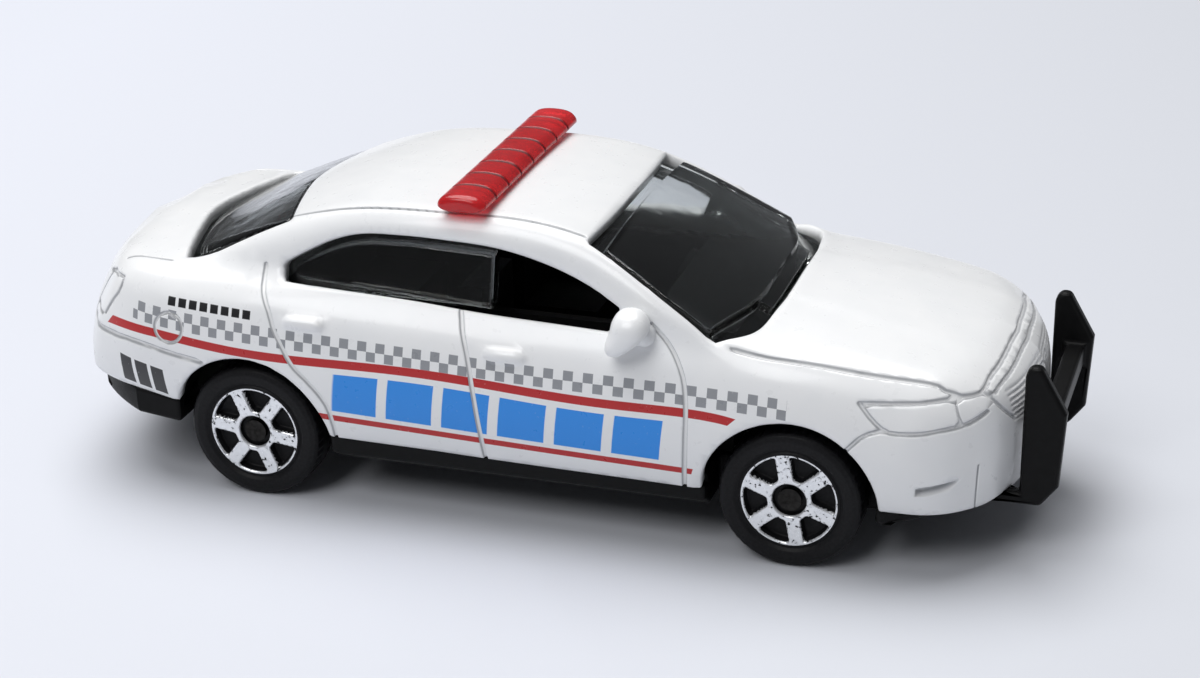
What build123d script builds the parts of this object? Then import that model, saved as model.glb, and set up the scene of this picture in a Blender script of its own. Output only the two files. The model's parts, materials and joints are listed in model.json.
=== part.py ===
"""Die-cast toy police car: cast body, clear glazing, red light bar, black interior,
black base with push bar, two steel axles and four one-piece wheels.
Millimetres; x runs forward, y to the car's left, z up from the floor."""

import os

from build123d import *

os.makedirs("parts", exist_ok=True)

# wheels and axles
WHEELBASE = 41.0
REAR_AXLE_X = -20.9
FRONT_AXLE_X = REAR_AXLE_X + WHEELBASE
WHEEL_R = 5.2
WHEEL_W = 3.4
WHEEL_FACE_Y = 13.2
RIM_R = 3.7
POCKET_R = 3.35
HUB_R = 1.5
SPOKES = 6
SPOKE_W = 1.25
POCKET_D = 0.6
SPOKE_TURN = 30.0
RIM_SUNK = 0.15
TYRE_EDGE = 0.45
HUB_D = 0.7
HUB_HOLE_R = 1.15
AXLE_R = 0.5
BORE_GAP = 0.06
HEAD_R = 0.85
HEAD_T = 0.35
SADDLE_GAP = 0.03

# cast body
WALL = 0.9
SHOULDER_R = 1.2
SILL_RUN = 0.4
SHELL_DROP = 5.0
RAIL_R = 1.0
ARCH_R = WHEEL_R + 1.1
GROOVE_W = 0.36
GROOVE_D = 0.26
SLOT_D = 0.5
SIDE_Y = 14.2
POST_R = 1.6
PIN_R = 0.8
FRONT_POST_X = 28.0
REAR_POST_X = -32.0

# base and push bar
BASE_LOW = 3.4
BASE_TOP = 6.4
BASE_SIDE_Y = 13.0
BASE_FIT = 0.2
BASE_SEAT = 0.15
BASE_INSET = 0.8
SKIRT_TOP = 9.5
RIM_T = 1.6
UNDER_TAIL = [(-45.0, 0.0), (-26.0, 0.0), (-26.0, 5.0), (-36.0, 6.2), (-45.0, 7.0)]
UNDER_NOSE = [(45.0, 0.0), (27.0, 0.0), (27.0, 4.2), (36.0, 5.0), (45.0, 5.4)]
UNDER_SILL = [(30.0, 0.0), (10.5, 0.0), (11.5, BASE_LOW), (13.0, 4.3), (30.0, 4.6)]
NOTCH_X = WHEEL_R + 0.9
NOTCH_Y = WHEEL_FACE_Y - WHEEL_W - 0.45
LINER_R = ARCH_R + 0.3
LINER_T = 0.6
LINER_IN = NOTCH_Y - 0.3
LINER_OUT = 12.2
PAD_X = 18.0
PAD_Y = 12.0
PAD_T = 0.4
BAR_Y = 7.1
BAR_T = 1.1
BAR_OUTLINE = [(35.3, 4.4), (36.8, 4.4), (38.0, 6.0), (38.3, 11.6), (36.4, 14.9), (35.7, 14.9), (35.3, 14.4)]
ARM_X = 33.6
ARM_Z = 4.85
ARM_L = 5.0
ARM_H = 0.9
CROSSBAR_X = 37.0
CROSSBAR_L = 1.4
CROSSBAR_H = 1.6
CROSSBAR_Z = [10.2]

# glazing, light bar and interior
GLASS_FIT = 0.06
GLASS_T = 0.8
PANE_SUNK = 0.15
GLASS_LOW = 16.6
LIGHT_X = -4.7
LIGHT_LEN = 3.7
LIGHT_HALF = 10.8
LIGHT_LOW = 23.4
LIGHT_H = 1.2
LIGHT_PARTS = 8
LIGHT_CORNER = 0.9
LIGHT_BEVEL = 0.55
LIGHT_CUT = 0.2
FOOT_X = 2.9
FOOT_HALF = 6.0
FOOT_H = 1.0
FOOT_FIT = 0.05
TUB_GAP = 0.8
TUB_HALF = WHEEL_FACE_Y - WHEEL_W - TUB_GAP
TUB_LOW = BASE_TOP + 0.05
TUB_TOP = 15.4
STEER_Y = 4.3

# lower body across x: sill, waist and shoulder half widths with heights, and crown height
BODY_STATIONS = [
    dict(x=-39.0, sill=11.8, sill_z=9.0, waist=12.9, waist_z=12.0, edge=11.3, edge_z=16.5, top=17.1),
    dict(x=-33.0, sill=12.8, sill_z=8.3, waist=13.6, waist_z=11.5, edge=11.9, edge_z=16.9, top=17.5),
    dict(x=-22.0, sill=13.5, sill_z=6.6, waist=14.2, waist_z=10.8, edge=12.4, edge_z=17.0, top=17.9),
    dict(x=-5.0, sill=13.4, sill_z=5.9, waist=14.2, waist_z=10.2, edge=12.5, edge_z=16.3, top=17.8),
    dict(x=10.0, sill=13.4, sill_z=5.7, waist=14.2, waist_z=9.8, edge=12.5, edge_z=16.0, top=17.8),
    dict(x=20.0, sill=13.4, sill_z=5.6, waist=14.2, waist_z=9.6, edge=12.3, edge_z=15.8, top=17.1),
    dict(x=28.0, sill=13.0, sill_z=5.5, waist=13.7, waist_z=9.4, edge=11.6, edge_z=14.9, top=16.0),
    dict(x=36.6, sill=12.2, sill_z=5.5, waist=12.8, waist_z=9.2, edge=10.4, edge_z=13.2, top=14.2),
]
# cabin across x: half width at its foot, half width and height of the roof rail, and crown
CABIN_FOOT_Z = 12.0
CABIN_STATIONS = [
    dict(x=-31.0, foot=12.0, rail=9.6, rail_z=15.6, top=16.6),
    dict(x=-27.0, foot=12.3, rail=9.9, rail_z=17.4, top=18.1),
    dict(x=-20.5, foot=12.6, rail=10.1, rail_z=20.1, top=21.0),
    dict(x=-13.5, foot=12.7, rail=10.2, rail_z=22.4, top=22.95),
    dict(x=-6.5, foot=12.8, rail=10.3, rail_z=22.95, top=23.3),
    dict(x=4.5, foot=12.8, rail=10.5, rail_z=21.6, top=22.2),
    dict(x=12.0, foot=12.9, rail=11.9, rail_z=17.9, top=19.4),
    dict(x=18.5, foot=12.6, rail=12.2, rail_z=14.6, top=16.8),
]
# plan across z: nose at the middle and at NOSE_Y, tail at the middle and at TAIL_Y
NOSE_Y = 7.0
NOSE_TURN = 11.0
NOSE_FLANK = 14.0
TAIL_Y = 10.0
TAIL_TURN = 12.5
TAIL_FLANK = 14.4
PLAN_HALF = 15.6
NOSE_X = 36.0
PLAN_LEVELS = [
    dict(z=1.0, nose=34.4, nose_edge=33.4, tail=-37.4, tail_edge=-34.6),
    dict(z=9.0, nose=NOSE_X, nose_edge=34.9, tail=-38.3, tail_edge=-35.4),
    dict(z=13.0, nose=35.2, nose_edge=34.2, tail=-37.3, tail_edge=-34.7),
    dict(z=15.2, nose=33.3, nose_edge=32.7, tail=-36.2, tail_edge=-33.9),
    dict(z=26.0, nose=24.0, nose_edge=23.6, tail=-30.0, tail_edge=-28.0),
]

# window outlines: sides in x and z, screens in x and y
SIDE_WINDOW = [(-18.0, 17.2), (-18.2, 18.3), (-14.9, 19.9), (-12.0, 20.9), (-8.0, 21.3)]
SIDE_WINDOW += [(-0.8, 21.15), (3.6, 20.1), (6.2, 18.4), (7.5, 16.4), (-2.0, 16.5)]
GLAZED_TO_X = -2.3
WINDSCREEN = dict(top_x=4.8, top_mid=5.4, top_half=9.3, low_x=14.4, low_mid=18.0, low_half=11.6)
BACKLIGHT = dict(top_x=-18.6, top_mid=-20.0, top_half=9.1, low_x=-27.0, low_mid=-29.4, low_half=9.3)

# engraved lines: both sides in x and z, the right side alone, the top in x and y
SIDE_LINES = dict(
    rear_door=[(-19.2, 17.6), (-19.1, 15.0), (-18.0, 12.4), (-16.5, 10.2), (-15.1, 8.3), (-13.9, 5.0)],
    middle=[(-3.9, 16.3), (-2.7, 5.0)],
    front_door=[(10.4, 16.9), (11.7, 15.9), (12.4, 14.0), (12.6, 12.0), (12.6, 5.0)],
    rear_bumper=[(-32.6, 11.9), (-29.6, 11.6), (-26.0, 10.8)],
    tail_lamp=[(-32.6, 16.2), (-31.2, 15.8), (-32.9, 13.2)],
    front_bumper=[(24.3, 10.1), (25.4, 11.2), (26.3, 11.8)],
    nose_joint=[(32.8, 8.6), (32.7, 4.6)],
    lamp_top=[(24.8, 13.2), (28.6, 13.5), (31.4, 13.8)],
    lamp_foot=[(24.8, 13.2), (26.2, 11.8), (27.2, 11.4), (28.6, 11.3), (30.4, 11.6), (32.3, 12.4)],
)
TOP_LINES = dict(
    roof=[(-18.4, 9.6), (-6.0, 9.75), (4.4, 9.9)],
    hood=[(15.4, 11.7), (23.0, 11.2), (30.2, 10.5)],
    hood_front=[(30.2, 10.5), (31.9, 9.4), (32.5, 7.0), (32.9, 0.0)],
    deck=[(-33.2, 10.4), (-29.6, 10.6)],
)
FOG_SLOT = [(28.8, 7.2), (31.9, 8.1), (31.2, 7.4), (29.2, 6.7)]
FUEL_CAP = dict(x=-26.6, z=13.4, r=1.25)
GRILLE = dict(half=6.4, low=11.0, pitch=0.7, bars=4, high=0.3)
HANDLES = [dict(x=-15.6, z=14.8), dict(x=-0.4, z=14.1)]
HANDLE_L = 3.2
HANDLE_H = 0.95
HANDLE_OUT = 0.35
MIRROR = dict(x=8.9, y=14.0, z=16.9, long=2.8, wide=2.2, high=2.6, round=0.8)

AXLE_X = dict(front=FRONT_AXLE_X, rear=REAR_AXLE_X)
SIDES = dict(left=1, right=-1)


def across(x):
    return Plane(origin=(x, 0, 0), x_dir=(0, 1, 0), z_dir=(1, 0, 0))


def body_section(row, inset, drop, soft):
    run = min(drop, SILL_RUN)
    sill = row["sill"] - inset - 0.25 * run
    waist = row["waist"] - inset
    edge = row["edge"] - inset
    low = row["sill_z"] - run
    high = row["edge_z"] - inset
    with BuildSketch(across(row["x"])) as face:
        with BuildLine():
            left = ThreePointArc((sill, low), (waist, row["waist_z"]), (edge, high))
            top = ThreePointArc(left @ 1, (0, row["top"] - inset), (-edge, high))
            right = ThreePointArc(top @ 1, (-waist, row["waist_z"]), (-sill, low))
            if drop > run:
                Polyline(right @ 1, (-sill, low - drop), (sill, low - drop), left @ 0)
            else:
                Line(right @ 1, left @ 0)
        make_face()
        if soft:
            fillet(face.vertices().group_by(Axis.Y)[-1], SHOULDER_R)
    return face.sketch


def cabin_section(row, inset, soft):
    foot = row["foot"] - inset
    rail = row["rail"] - inset
    high = row["rail_z"] - inset
    with BuildSketch(across(row["x"])) as face:
        with BuildLine():
            left = Line((foot, CABIN_FOOT_Z), (rail, high))
            top = ThreePointArc(left @ 1, (0, row["top"] - inset), (-rail, high))
            right = Line(top @ 1, (-foot, CABIN_FOOT_Z))
            Line(right @ 1, left @ 0)
        make_face()
        if soft:
            fillet(face.vertices().group_by(Axis.Y)[-1], RAIL_R)
    return face.sketch


def plan_section(row, inset):
    nose = row["nose_edge"] - inset
    tail = row["tail_edge"] + inset
    turn = NOSE_TURN - inset
    flank = NOSE_FLANK - inset
    tail_turn = TAIL_TURN - inset
    tail_flank = TAIL_FLANK - inset
    wide = PLAN_HALF - inset
    with BuildSketch(Plane.XY.offset(row["z"])) as face:
        with BuildLine():
            front = ThreePointArc((nose, -NOSE_Y), (row["nose"] - inset, 0), (nose, NOSE_Y))
            corner = ThreePointArc(front @ 1, (nose - 2.2, turn), (nose - 6.8, flank))
            side = Polyline(corner @ 1, (15.0, wide), (-22.0, wide), (tail + 5.6, tail_flank))
            rear_corner = ThreePointArc(side @ 1, (tail + 1.9, tail_turn), (tail, TAIL_Y))
            rear = ThreePointArc(rear_corner @ 1, (row["tail"] + inset, 0), (tail, -TAIL_Y))
            rear_right = ThreePointArc(rear @ 1, (tail + 1.9, -tail_turn), (tail + 5.6, -tail_flank))
            right = Polyline(rear_right @ 1, (-22.0, -wide), (15.0, -wide), (nose - 6.8, -flank))
            ThreePointArc(right @ 1, (nose - 2.2, -turn), front @ 0)
        make_face()
    return face.sketch


def plan_block(inset):
    with BuildPart() as block:
        loft(sections=[plan_section(row, inset) for row in PLAN_LEVELS])
    return block.part


def lower_hull(inset, drop, soft):
    limits = plan_block(inset)
    with BuildPart() as block:
        loft(sections=[body_section(row, inset, drop, soft) for row in BODY_STATIONS])
        add(limits, mode=Mode.INTERSECT)
    return block.part


def cabin_hull(inset, soft):
    with BuildPart() as block:
        loft(sections=[cabin_section(row, inset, soft) for row in CABIN_STATIONS])
    return block.part


def hull(inset, drop, soft):
    lower = lower_hull(inset, drop, soft)
    cabin = cabin_hull(inset, soft)
    with BuildPart() as block:
        add(lower)
        add(cabin)
    return block.part


def side_window(inset, x_from, x_to):
    with BuildPart() as block:
        with BuildSketch(Plane.XZ) as face:
            with BuildLine():
                Polyline(*SIDE_WINDOW, close=True)
            make_face()
            fillet(face.vertices(), 0.6)
            with Locations(((x_from + x_to) / 2, 19)):
                Rectangle(x_to - x_from - 2 * inset, 12, mode=Mode.INTERSECT)
            if inset:
                offset(amount=-inset)
        extrude(amount=20, both=True)
    return block.part


def screen(size, inset):
    with BuildPart() as block:
        with BuildSketch(Plane.XY.offset(15.0)) as face:
            with BuildLine():
                high = (size["top_x"], size["top_half"])
                low = (size["low_x"], size["low_half"])
                top = ThreePointArc((high[0], -high[1]), (size["top_mid"], 0), high)
                left = Line(top @ 1, low)
                foot = ThreePointArc(left @ 1, (size["low_mid"], 0), (low[0], -low[1]))
                Line(foot @ 1, top @ 0)
            make_face()
            fillet(face.vertices(), 0.9)
            if inset:
                offset(amount=-inset)
        extrude(amount=12)
    return block.part


def engraved(core):
    with BuildPart() as block:
        with BuildSketch(Plane.XZ):
            for points in SIDE_LINES.values():
                with BuildLine():
                    Polyline(*points)
                trace(line_width=GROOVE_W)
        extrude(amount=SIDE_Y + 2, both=True)
        with BuildSketch(Plane.XZ):
            with Locations((FUEL_CAP["x"], FUEL_CAP["z"])):
                Circle(FUEL_CAP["r"] + GROOVE_W / 2)
                Circle(FUEL_CAP["r"] - GROOVE_W / 2, mode=Mode.SUBTRACT)
        extrude(amount=SIDE_Y + 2)
        with BuildSketch(Plane.XY.offset(12.8)):
            for points in TOP_LINES.values():
                for side in SIDES.values():
                    with BuildLine():
                        Polyline(*[(x, side * y) for x, y in points])
                    trace(line_width=GROOVE_W)
        extrude(amount=12)
        add(core, mode=Mode.SUBTRACT)
    return block.part


def recessed(core):
    with BuildPart() as block:
        with BuildSketch(Plane.XZ):
            with BuildLine():
                Polyline(*FOG_SLOT, close=True)
            make_face()
        extrude(amount=SIDE_Y + 2, both=True)
        for i in range(GRILLE["bars"]):
            with Locations((NOSE_X, 0, GRILLE["low"] + i * GRILLE["pitch"])):
                Box(6.0, 2 * GRILLE["half"], GRILLE["high"])
        add(core, mode=Mode.SUBTRACT)
    return block.part


outer = hull(0, 0, True)
inner = hull(WALL, SHELL_DROP, False)
skin_core = hull(GROOVE_D, SHELL_DROP, True)
slot_core = hull(SLOT_D, SHELL_DROP, False)
grooves = engraved(skin_core)
slots = recessed(slot_core)
open_sides = side_window(0, -30.0, 20.0)
open_front = screen(WINDSCREEN, 0)
open_rear = screen(BACKLIGHT, 0)

with BuildPart() as mirror_pair:
    for side in SIDES.values():
        with Locations((MIRROR["x"], side * MIRROR["y"], MIRROR["z"])):
            Box(MIRROR["long"], MIRROR["wide"], MIRROR["high"])
    fillet(mirror_pair.edges(), MIRROR["round"])
mirrors = mirror_pair.part

# cast shell with arches, windows, engraved seams, handles, mirrors and rivet posts
with BuildPart() as body_shell:
    add(outer)
    for side in SIDES.values():
        for row in HANDLES:
            with BuildSketch(Plane.XZ.offset(-side * (SIDE_Y - 1.6))):
                with Locations((row["x"], row["z"])):
                    SlotOverall(HANDLE_L, HANDLE_H)
            extrude(amount=-side * (1.0 + HANDLE_OUT))
        with Locations((MIRROR["x"], side * 12.4, MIRROR["z"] - 0.6)):
            Box(1.7, 2.4, 1.0)
    add(mirrors)
    add(inner, mode=Mode.SUBTRACT)
    add(grooves, mode=Mode.SUBTRACT)
    add(slots, mode=Mode.SUBTRACT)
    add(open_sides, mode=Mode.SUBTRACT)
    add(open_front, mode=Mode.SUBTRACT)
    add(open_rear, mode=Mode.SUBTRACT)
    for x in AXLE_X.values():
        with Locations(Pos(x, 0, WHEEL_R) * Rot(90, 0, 0)):
            Cylinder(ARCH_R, 40, mode=Mode.SUBTRACT)
    with Locations((LIGHT_X, 0, LIGHT_LOW)):
        Box(FOOT_X + 2 * FOOT_FIT, 2 * (FOOT_HALF + FOOT_FIT), 4, mode=Mode.SUBTRACT)
    for x, top, tip in ((FRONT_POST_X, 15.6, 4.6), (REAR_POST_X, 17.1, 6.0)):
        with BuildSketch(Plane.XY.offset(BASE_TOP + 0.05)):
            with Locations((x, 0)):
                Circle(POST_R)
        extrude(amount=top - BASE_TOP - 0.05)
        with BuildSketch(Plane.XY.offset(tip)):
            with Locations((x, 0)):
                Circle(PIN_R)
        extrude(amount=BASE_TOP + 0.5 - tip)

body_shell.part.label = "body_shell"
export_step(body_shell.part, "parts/body_shell.step")

# clear moulding: roof web and panes that fill the windscreen, backlight and rear sides
web_outer = cabin_hull(WALL + GLASS_FIT, False)
web_inner = cabin_hull(WALL + GLASS_FIT + GLASS_T, False)
pane_outer = cabin_hull(PANE_SUNK, True)
fill_sides = side_window(GLASS_FIT, -30.0, GLAZED_TO_X)
fill_front = screen(WINDSCREEN, GLASS_FIT)
fill_rear = screen(BACKLIGHT, GLASS_FIT)
front_way = side_window(-0.2, GLAZED_TO_X, 20.0)

with BuildPart() as panes:
    add(fill_sides)
    add(fill_front)
    add(fill_rear)
    add(pane_outer, mode=Mode.INTERSECT)
    add(web_outer, mode=Mode.SUBTRACT)

with BuildPart() as windows:
    add(web_outer)
    add(panes.part)
    add(web_inner, mode=Mode.SUBTRACT)
    with Locations((0, 0, GLASS_LOW - 20)):
        Box(100, 60, 40, mode=Mode.SUBTRACT)
    add(front_way, mode=Mode.SUBTRACT)

windows.part.label = "windows"
export_step(windows.part, "parts/windows.step")

# red light bar: bevelled lens with cross grooves, on a foot that stands in the roof slot
with BuildPart() as light_bar:
    with BuildSketch(Plane.XY.offset(LIGHT_LOW)):
        with Locations((LIGHT_X, 0)):
            RectangleRounded(LIGHT_LEN, 2 * LIGHT_HALF, LIGHT_CORNER)
    extrude(amount=LIGHT_H)
    chamfer(light_bar.edges().group_by(Axis.Z)[-1], LIGHT_BEVEL)
    step = 2 * LIGHT_HALF / LIGHT_PARTS
    for i in range(1, LIGHT_PARTS):
        with Locations((LIGHT_X, -LIGHT_HALF + i * step, LIGHT_LOW + LIGHT_H)):
            Box(LIGHT_LEN, LIGHT_CUT, 2 * LIGHT_CUT, mode=Mode.SUBTRACT)
    with Locations((LIGHT_X, 0, LIGHT_LOW - FOOT_H / 2)):
        Box(FOOT_X, 2 * FOOT_HALF, FOOT_H)

light_bar.part.label = "light_bar"
export_step(light_bar.part, "parts/light_bar.step")

# black interior: open tub with seats, dash and steering wheel
with BuildPart() as interior:
    with Locations((-5.0, 0, (TUB_LOW + TUB_TOP) / 2)):
        Box(40.0, 2 * TUB_HALF, TUB_TOP - TUB_LOW)
    with Locations((-5.0, 0, TUB_TOP)):
        Box(38.4, 2 * TUB_HALF - 1.6, 2 * (TUB_TOP - TUB_LOW - 1.0), mode=Mode.SUBTRACT)
    for side in SIDES.values():
        with Locations((-2.0, side * 4.3, 9.4)):
            Box(7.0, 6.0, 4.5)
        with Locations((-5.2, side * 4.3, 11.6)):
            Box(1.8, 6.0, 9.6)
    with Locations((-17.0, 0, 9.4)):
        Box(7.5, 16.6, 4.5)
    with Locations((-20.2, 0, 11.4)):
        Box(2.0, 16.6, 9.4)
    with Locations((11.2, 0, 12.6)):
        Box(6.0, 16.8, 5.6)
    with BuildSketch(Plane(origin=(7.2, STEER_Y, 13.6), z_dir=(-0.87, 0, 0.5))):
        Circle(2.2)
        Circle(1.7, mode=Mode.SUBTRACT)
        Rectangle(0.6, 3.8)
    extrude(amount=0.5)
    with BuildSketch(Plane(origin=(7.2, STEER_Y, 13.6), z_dir=(0.87, 0, -0.5))):
        Circle(0.35)
    extrude(amount=3.6)

interior.part.label = "interior"
export_step(interior.part, "parts/interior.step")

# black base: floor, sill strips, rear skirt, front lip, axle bores and push bar
base_plan = plan_block(BASE_INSET)
base_room = lower_hull(WALL + BASE_FIT, SHELL_DROP, False)
body_clear = lower_hull(-BASE_SEAT, BASE_SEAT, False)

rim_plan = plan_block(BASE_INSET + RIM_T)

with BuildPart() as well:
    add(rim_plan)
    with Locations((0, 0, BASE_TOP - 20)):
        Box(120, 60, 40, mode=Mode.SUBTRACT)
base_well = well.part

with BuildPart() as base_lower:
    with BuildSketch(Plane.XY.offset(BASE_LOW)):
        Rectangle(90, 2 * BASE_SIDE_Y)
    extrude(amount=SKIRT_TOP - BASE_LOW)
    add(base_plan, mode=Mode.INTERSECT)
    add(body_clear, mode=Mode.SUBTRACT)
    add(base_well, mode=Mode.SUBTRACT)

with BuildPart() as base_upper:
    with BuildSketch(Plane.XY.offset(BASE_LOW + 0.5)):
        Rectangle(90, 40)
    extrude(amount=BASE_TOP - BASE_LOW - 0.5)
    add(base_room, mode=Mode.INTERSECT)

with BuildPart() as base:
    add(base_lower.part)
    add(base_upper.part)
    for outline in (UNDER_TAIL, UNDER_NOSE):
        with BuildSketch(Plane.XZ):
            with BuildLine():
                Polyline(*outline, close=True)
            make_face()
        extrude(amount=20, both=True, mode=Mode.SUBTRACT)
    for side in SIDES.values():
        with BuildSketch(Plane.YZ):
            with BuildLine():
                Polyline(*[(side * y, z) for y, z in UNDER_SILL], close=True)
            make_face()
        extrude(amount=50, both=True, mode=Mode.SUBTRACT)
        for x in AXLE_X.values():
            with Locations((x, side * (NOTCH_Y + 10), WHEEL_R)):
                Box(2 * NOTCH_X, 20, 20, mode=Mode.SUBTRACT)
            with BuildSketch(Plane.XZ.offset(-side * LINER_IN)):
                with Locations((x, WHEEL_R)):
                    Circle(LINER_R + LINER_T)
                    Circle(LINER_R, mode=Mode.SUBTRACT)
                with Locations((x, 0)):
                    Rectangle(4 * LINER_R, 2 * (BASE_TOP - 0.4), mode=Mode.SUBTRACT)
            extrude(amount=-side * (LINER_OUT - LINER_IN))
        with BuildSketch(Plane.XZ.offset(-side * (BAR_Y - BAR_T / 2))):
            with BuildLine():
                Polyline(*BAR_OUTLINE, close=True)
            make_face()
        extrude(amount=-side * BAR_T)
        with Locations((ARM_X, side * BAR_Y, ARM_Z)):
            Box(ARM_L, BAR_T, ARM_H)
    for z in CROSSBAR_Z:
        with Locations((CROSSBAR_X, 0, z)):
            Box(CROSSBAR_L, 2 * BAR_Y, CROSSBAR_H)
    with Locations((0, 0, BASE_LOW)):
        Box(PAD_X, PAD_Y, 2 * PAD_T)
    for x in AXLE_X.values():
        with Locations(Pos(x, 0, WHEEL_R) * Rot(90, 0, 0)):
            Cylinder(AXLE_R + SADDLE_GAP, 40, mode=Mode.SUBTRACT)
    for x in (FRONT_POST_X, REAR_POST_X):
        with Locations((x, 0, WHEEL_R)):
            Cylinder(PIN_R + SADDLE_GAP, 12, mode=Mode.SUBTRACT)

base.part.label = "base"
export_step(base.part, "parts/base.step")

# steel axles with a head in each hub
for name, x in AXLE_X.items():
    with BuildPart() as axle:
        reach = WHEEL_FACE_Y - HUB_D + 0.05
        with Locations(Pos(x, 0, WHEEL_R) * Rot(90, 0, 0)):
            Cylinder(AXLE_R, 2 * reach)
        for side in SIDES.values():
            with Locations(Pos(x, side * (reach + HEAD_T / 2), WHEEL_R) * Rot(90, 0, 0)):
                Cylinder(HEAD_R, HEAD_T)
    axle.part.label = "axle_" + name
    export_step(axle.part, "parts/axle_" + name + ".step")

# one-piece wheels: turned tyre and rim, six spokes between pockets, hub hole and bore
WHEEL_PROFILE = [
    (AXLE_R + BORE_GAP, -HUB_D),
    (HUB_HOLE_R, -HUB_D),
    (HUB_HOLE_R, -RIM_SUNK),
    (RIM_R, -RIM_SUNK),
    (RIM_R + RIM_SUNK, 0.0),
    (WHEEL_R - TYRE_EDGE, 0.0),
    (WHEEL_R, -TYRE_EDGE),
    (WHEEL_R, -WHEEL_W),
    (AXLE_R + BORE_GAP, -WHEEL_W),
]
for place, x in AXLE_X.items():
    for name, side in SIDES.items():
        centre = (x, side * WHEEL_FACE_Y, WHEEL_R)
        with BuildPart() as wheel:
            with BuildSketch(Plane(origin=centre, x_dir=(0, 0, 1), z_dir=(-side, 0, 0))):
                with BuildLine():
                    Polyline(*WHEEL_PROFILE, close=True)
                make_face()
            revolve(axis=Axis(centre, (0, 1, 0)))
            with BuildSketch(Plane(origin=centre, x_dir=(-side, 0, 0), z_dir=(0, side, 0))):
                Circle(POCKET_R)
                Circle(HUB_R, mode=Mode.SUBTRACT)
                with PolarLocations(0, SPOKES // 2, start_angle=SPOKE_TURN, angular_range=180):
                    Rectangle(2 * RIM_R, SPOKE_W, mode=Mode.SUBTRACT)
            extrude(amount=-POCKET_D, mode=Mode.SUBTRACT)
        wheel.part.label = "wheel_" + place + "_" + name
        export_step(wheel.part, "parts/wheel_" + place + "_" + name + ".step")
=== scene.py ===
"""Looks of a small die-cast toy police car: soft white casting with engraved seams, printed sides,
smoked clear glazing, red light bar, satin black base and foil-faced wheels.
Metres in the frame; the body's own sizes are in millimetres and pass through MM."""

import json
import math

import bmesh
import bpy
import numpy as np
from mathutils import Matrix, Vector


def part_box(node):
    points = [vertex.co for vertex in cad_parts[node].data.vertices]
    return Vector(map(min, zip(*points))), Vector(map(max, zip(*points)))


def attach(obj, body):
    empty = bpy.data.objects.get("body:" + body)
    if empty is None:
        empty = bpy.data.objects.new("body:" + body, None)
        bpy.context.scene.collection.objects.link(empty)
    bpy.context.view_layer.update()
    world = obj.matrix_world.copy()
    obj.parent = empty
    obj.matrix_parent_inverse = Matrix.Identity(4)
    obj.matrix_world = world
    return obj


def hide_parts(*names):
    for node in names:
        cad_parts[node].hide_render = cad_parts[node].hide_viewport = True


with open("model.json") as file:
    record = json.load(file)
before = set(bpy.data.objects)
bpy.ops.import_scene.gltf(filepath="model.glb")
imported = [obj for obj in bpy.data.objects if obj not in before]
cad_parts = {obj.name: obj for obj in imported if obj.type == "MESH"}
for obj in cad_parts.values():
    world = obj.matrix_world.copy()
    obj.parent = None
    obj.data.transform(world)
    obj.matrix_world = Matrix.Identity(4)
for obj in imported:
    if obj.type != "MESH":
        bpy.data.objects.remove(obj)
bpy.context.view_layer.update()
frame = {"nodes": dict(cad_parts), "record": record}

MM = 0.001


class Field:
    """One socket of a node tree. Operators on fields or numbers add Math nodes."""

    def __init__(self, tree, socket):
        self.tree = tree
        self.socket = socket

    def node(self, kind, settings=None, **sockets):
        """Any node: its type, its settings, then values or fields for its sockets, with spaces written as _
        and i0 for input 0."""
        made = self.tree.nodes.new(kind)
        for name, value in (settings or {}).items():
            setattr(made, name, value)
        for name, value in sockets.items():
            key = int(name[1:]) if name[0] == "i" and name[1:].isdigit() else name.replace("_", " ")
            if isinstance(value, Field):
                self.tree.links.new(value.socket, made.inputs[key])
            else:
                made.inputs[key].default_value = value
        return made

    def field(self, kind, output=0, settings=None, **sockets):
        """The same, giving back one output as a field."""
        return Field(self.tree, self.node(kind, settings, **sockets).outputs[output])

    def math(self, operation, *values):
        sockets = {"i%d" % i: v for i, v in enumerate(values)}
        return self.field("ShaderNodeMath", 0, {"operation": operation}, **sockets)

    def __add__(self, other):
        return self.math("ADD", self, other)

    def __sub__(self, other):
        return self.math("SUBTRACT", self, other)

    def __rsub__(self, other):
        return self.math("SUBTRACT", other, self)

    def __mul__(self, other):
        return self.math("MULTIPLY", self, other)

    def __truediv__(self, other):
        return self.math("DIVIDE", self, other)

    def __rtruediv__(self, other):
        return self.math("DIVIDE", other, self)

    def __neg__(self):
        return self.math("MULTIPLY", self, -1.0)

    __radd__ = __add__
    __rmul__ = __mul__

    def low(self, other):
        return self.math("MINIMUM", self, other)

    def size(self):
        return self.math("ABSOLUTE", self)

    def step(self, start, end):
        """0 before start, 1 after end, straight between."""
        ends = dict(From_Min=start, From_Max=end, To_Min=0.0, To_Max=1.0)
        return self.field("ShaderNodeMapRange", 0, {"clamp": True}, Value=self, **ends)

    def mix(self, first, second):
        """Colour first where this is 0 and second where it is 1."""
        first, second = (c if isinstance(c, Field) else (*c, 1.0) for c in (first, second))
        return self.field("ShaderNodeMix", 2, {"data_type": "RGBA"}, i0=self, i6=first, i7=second)


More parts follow.
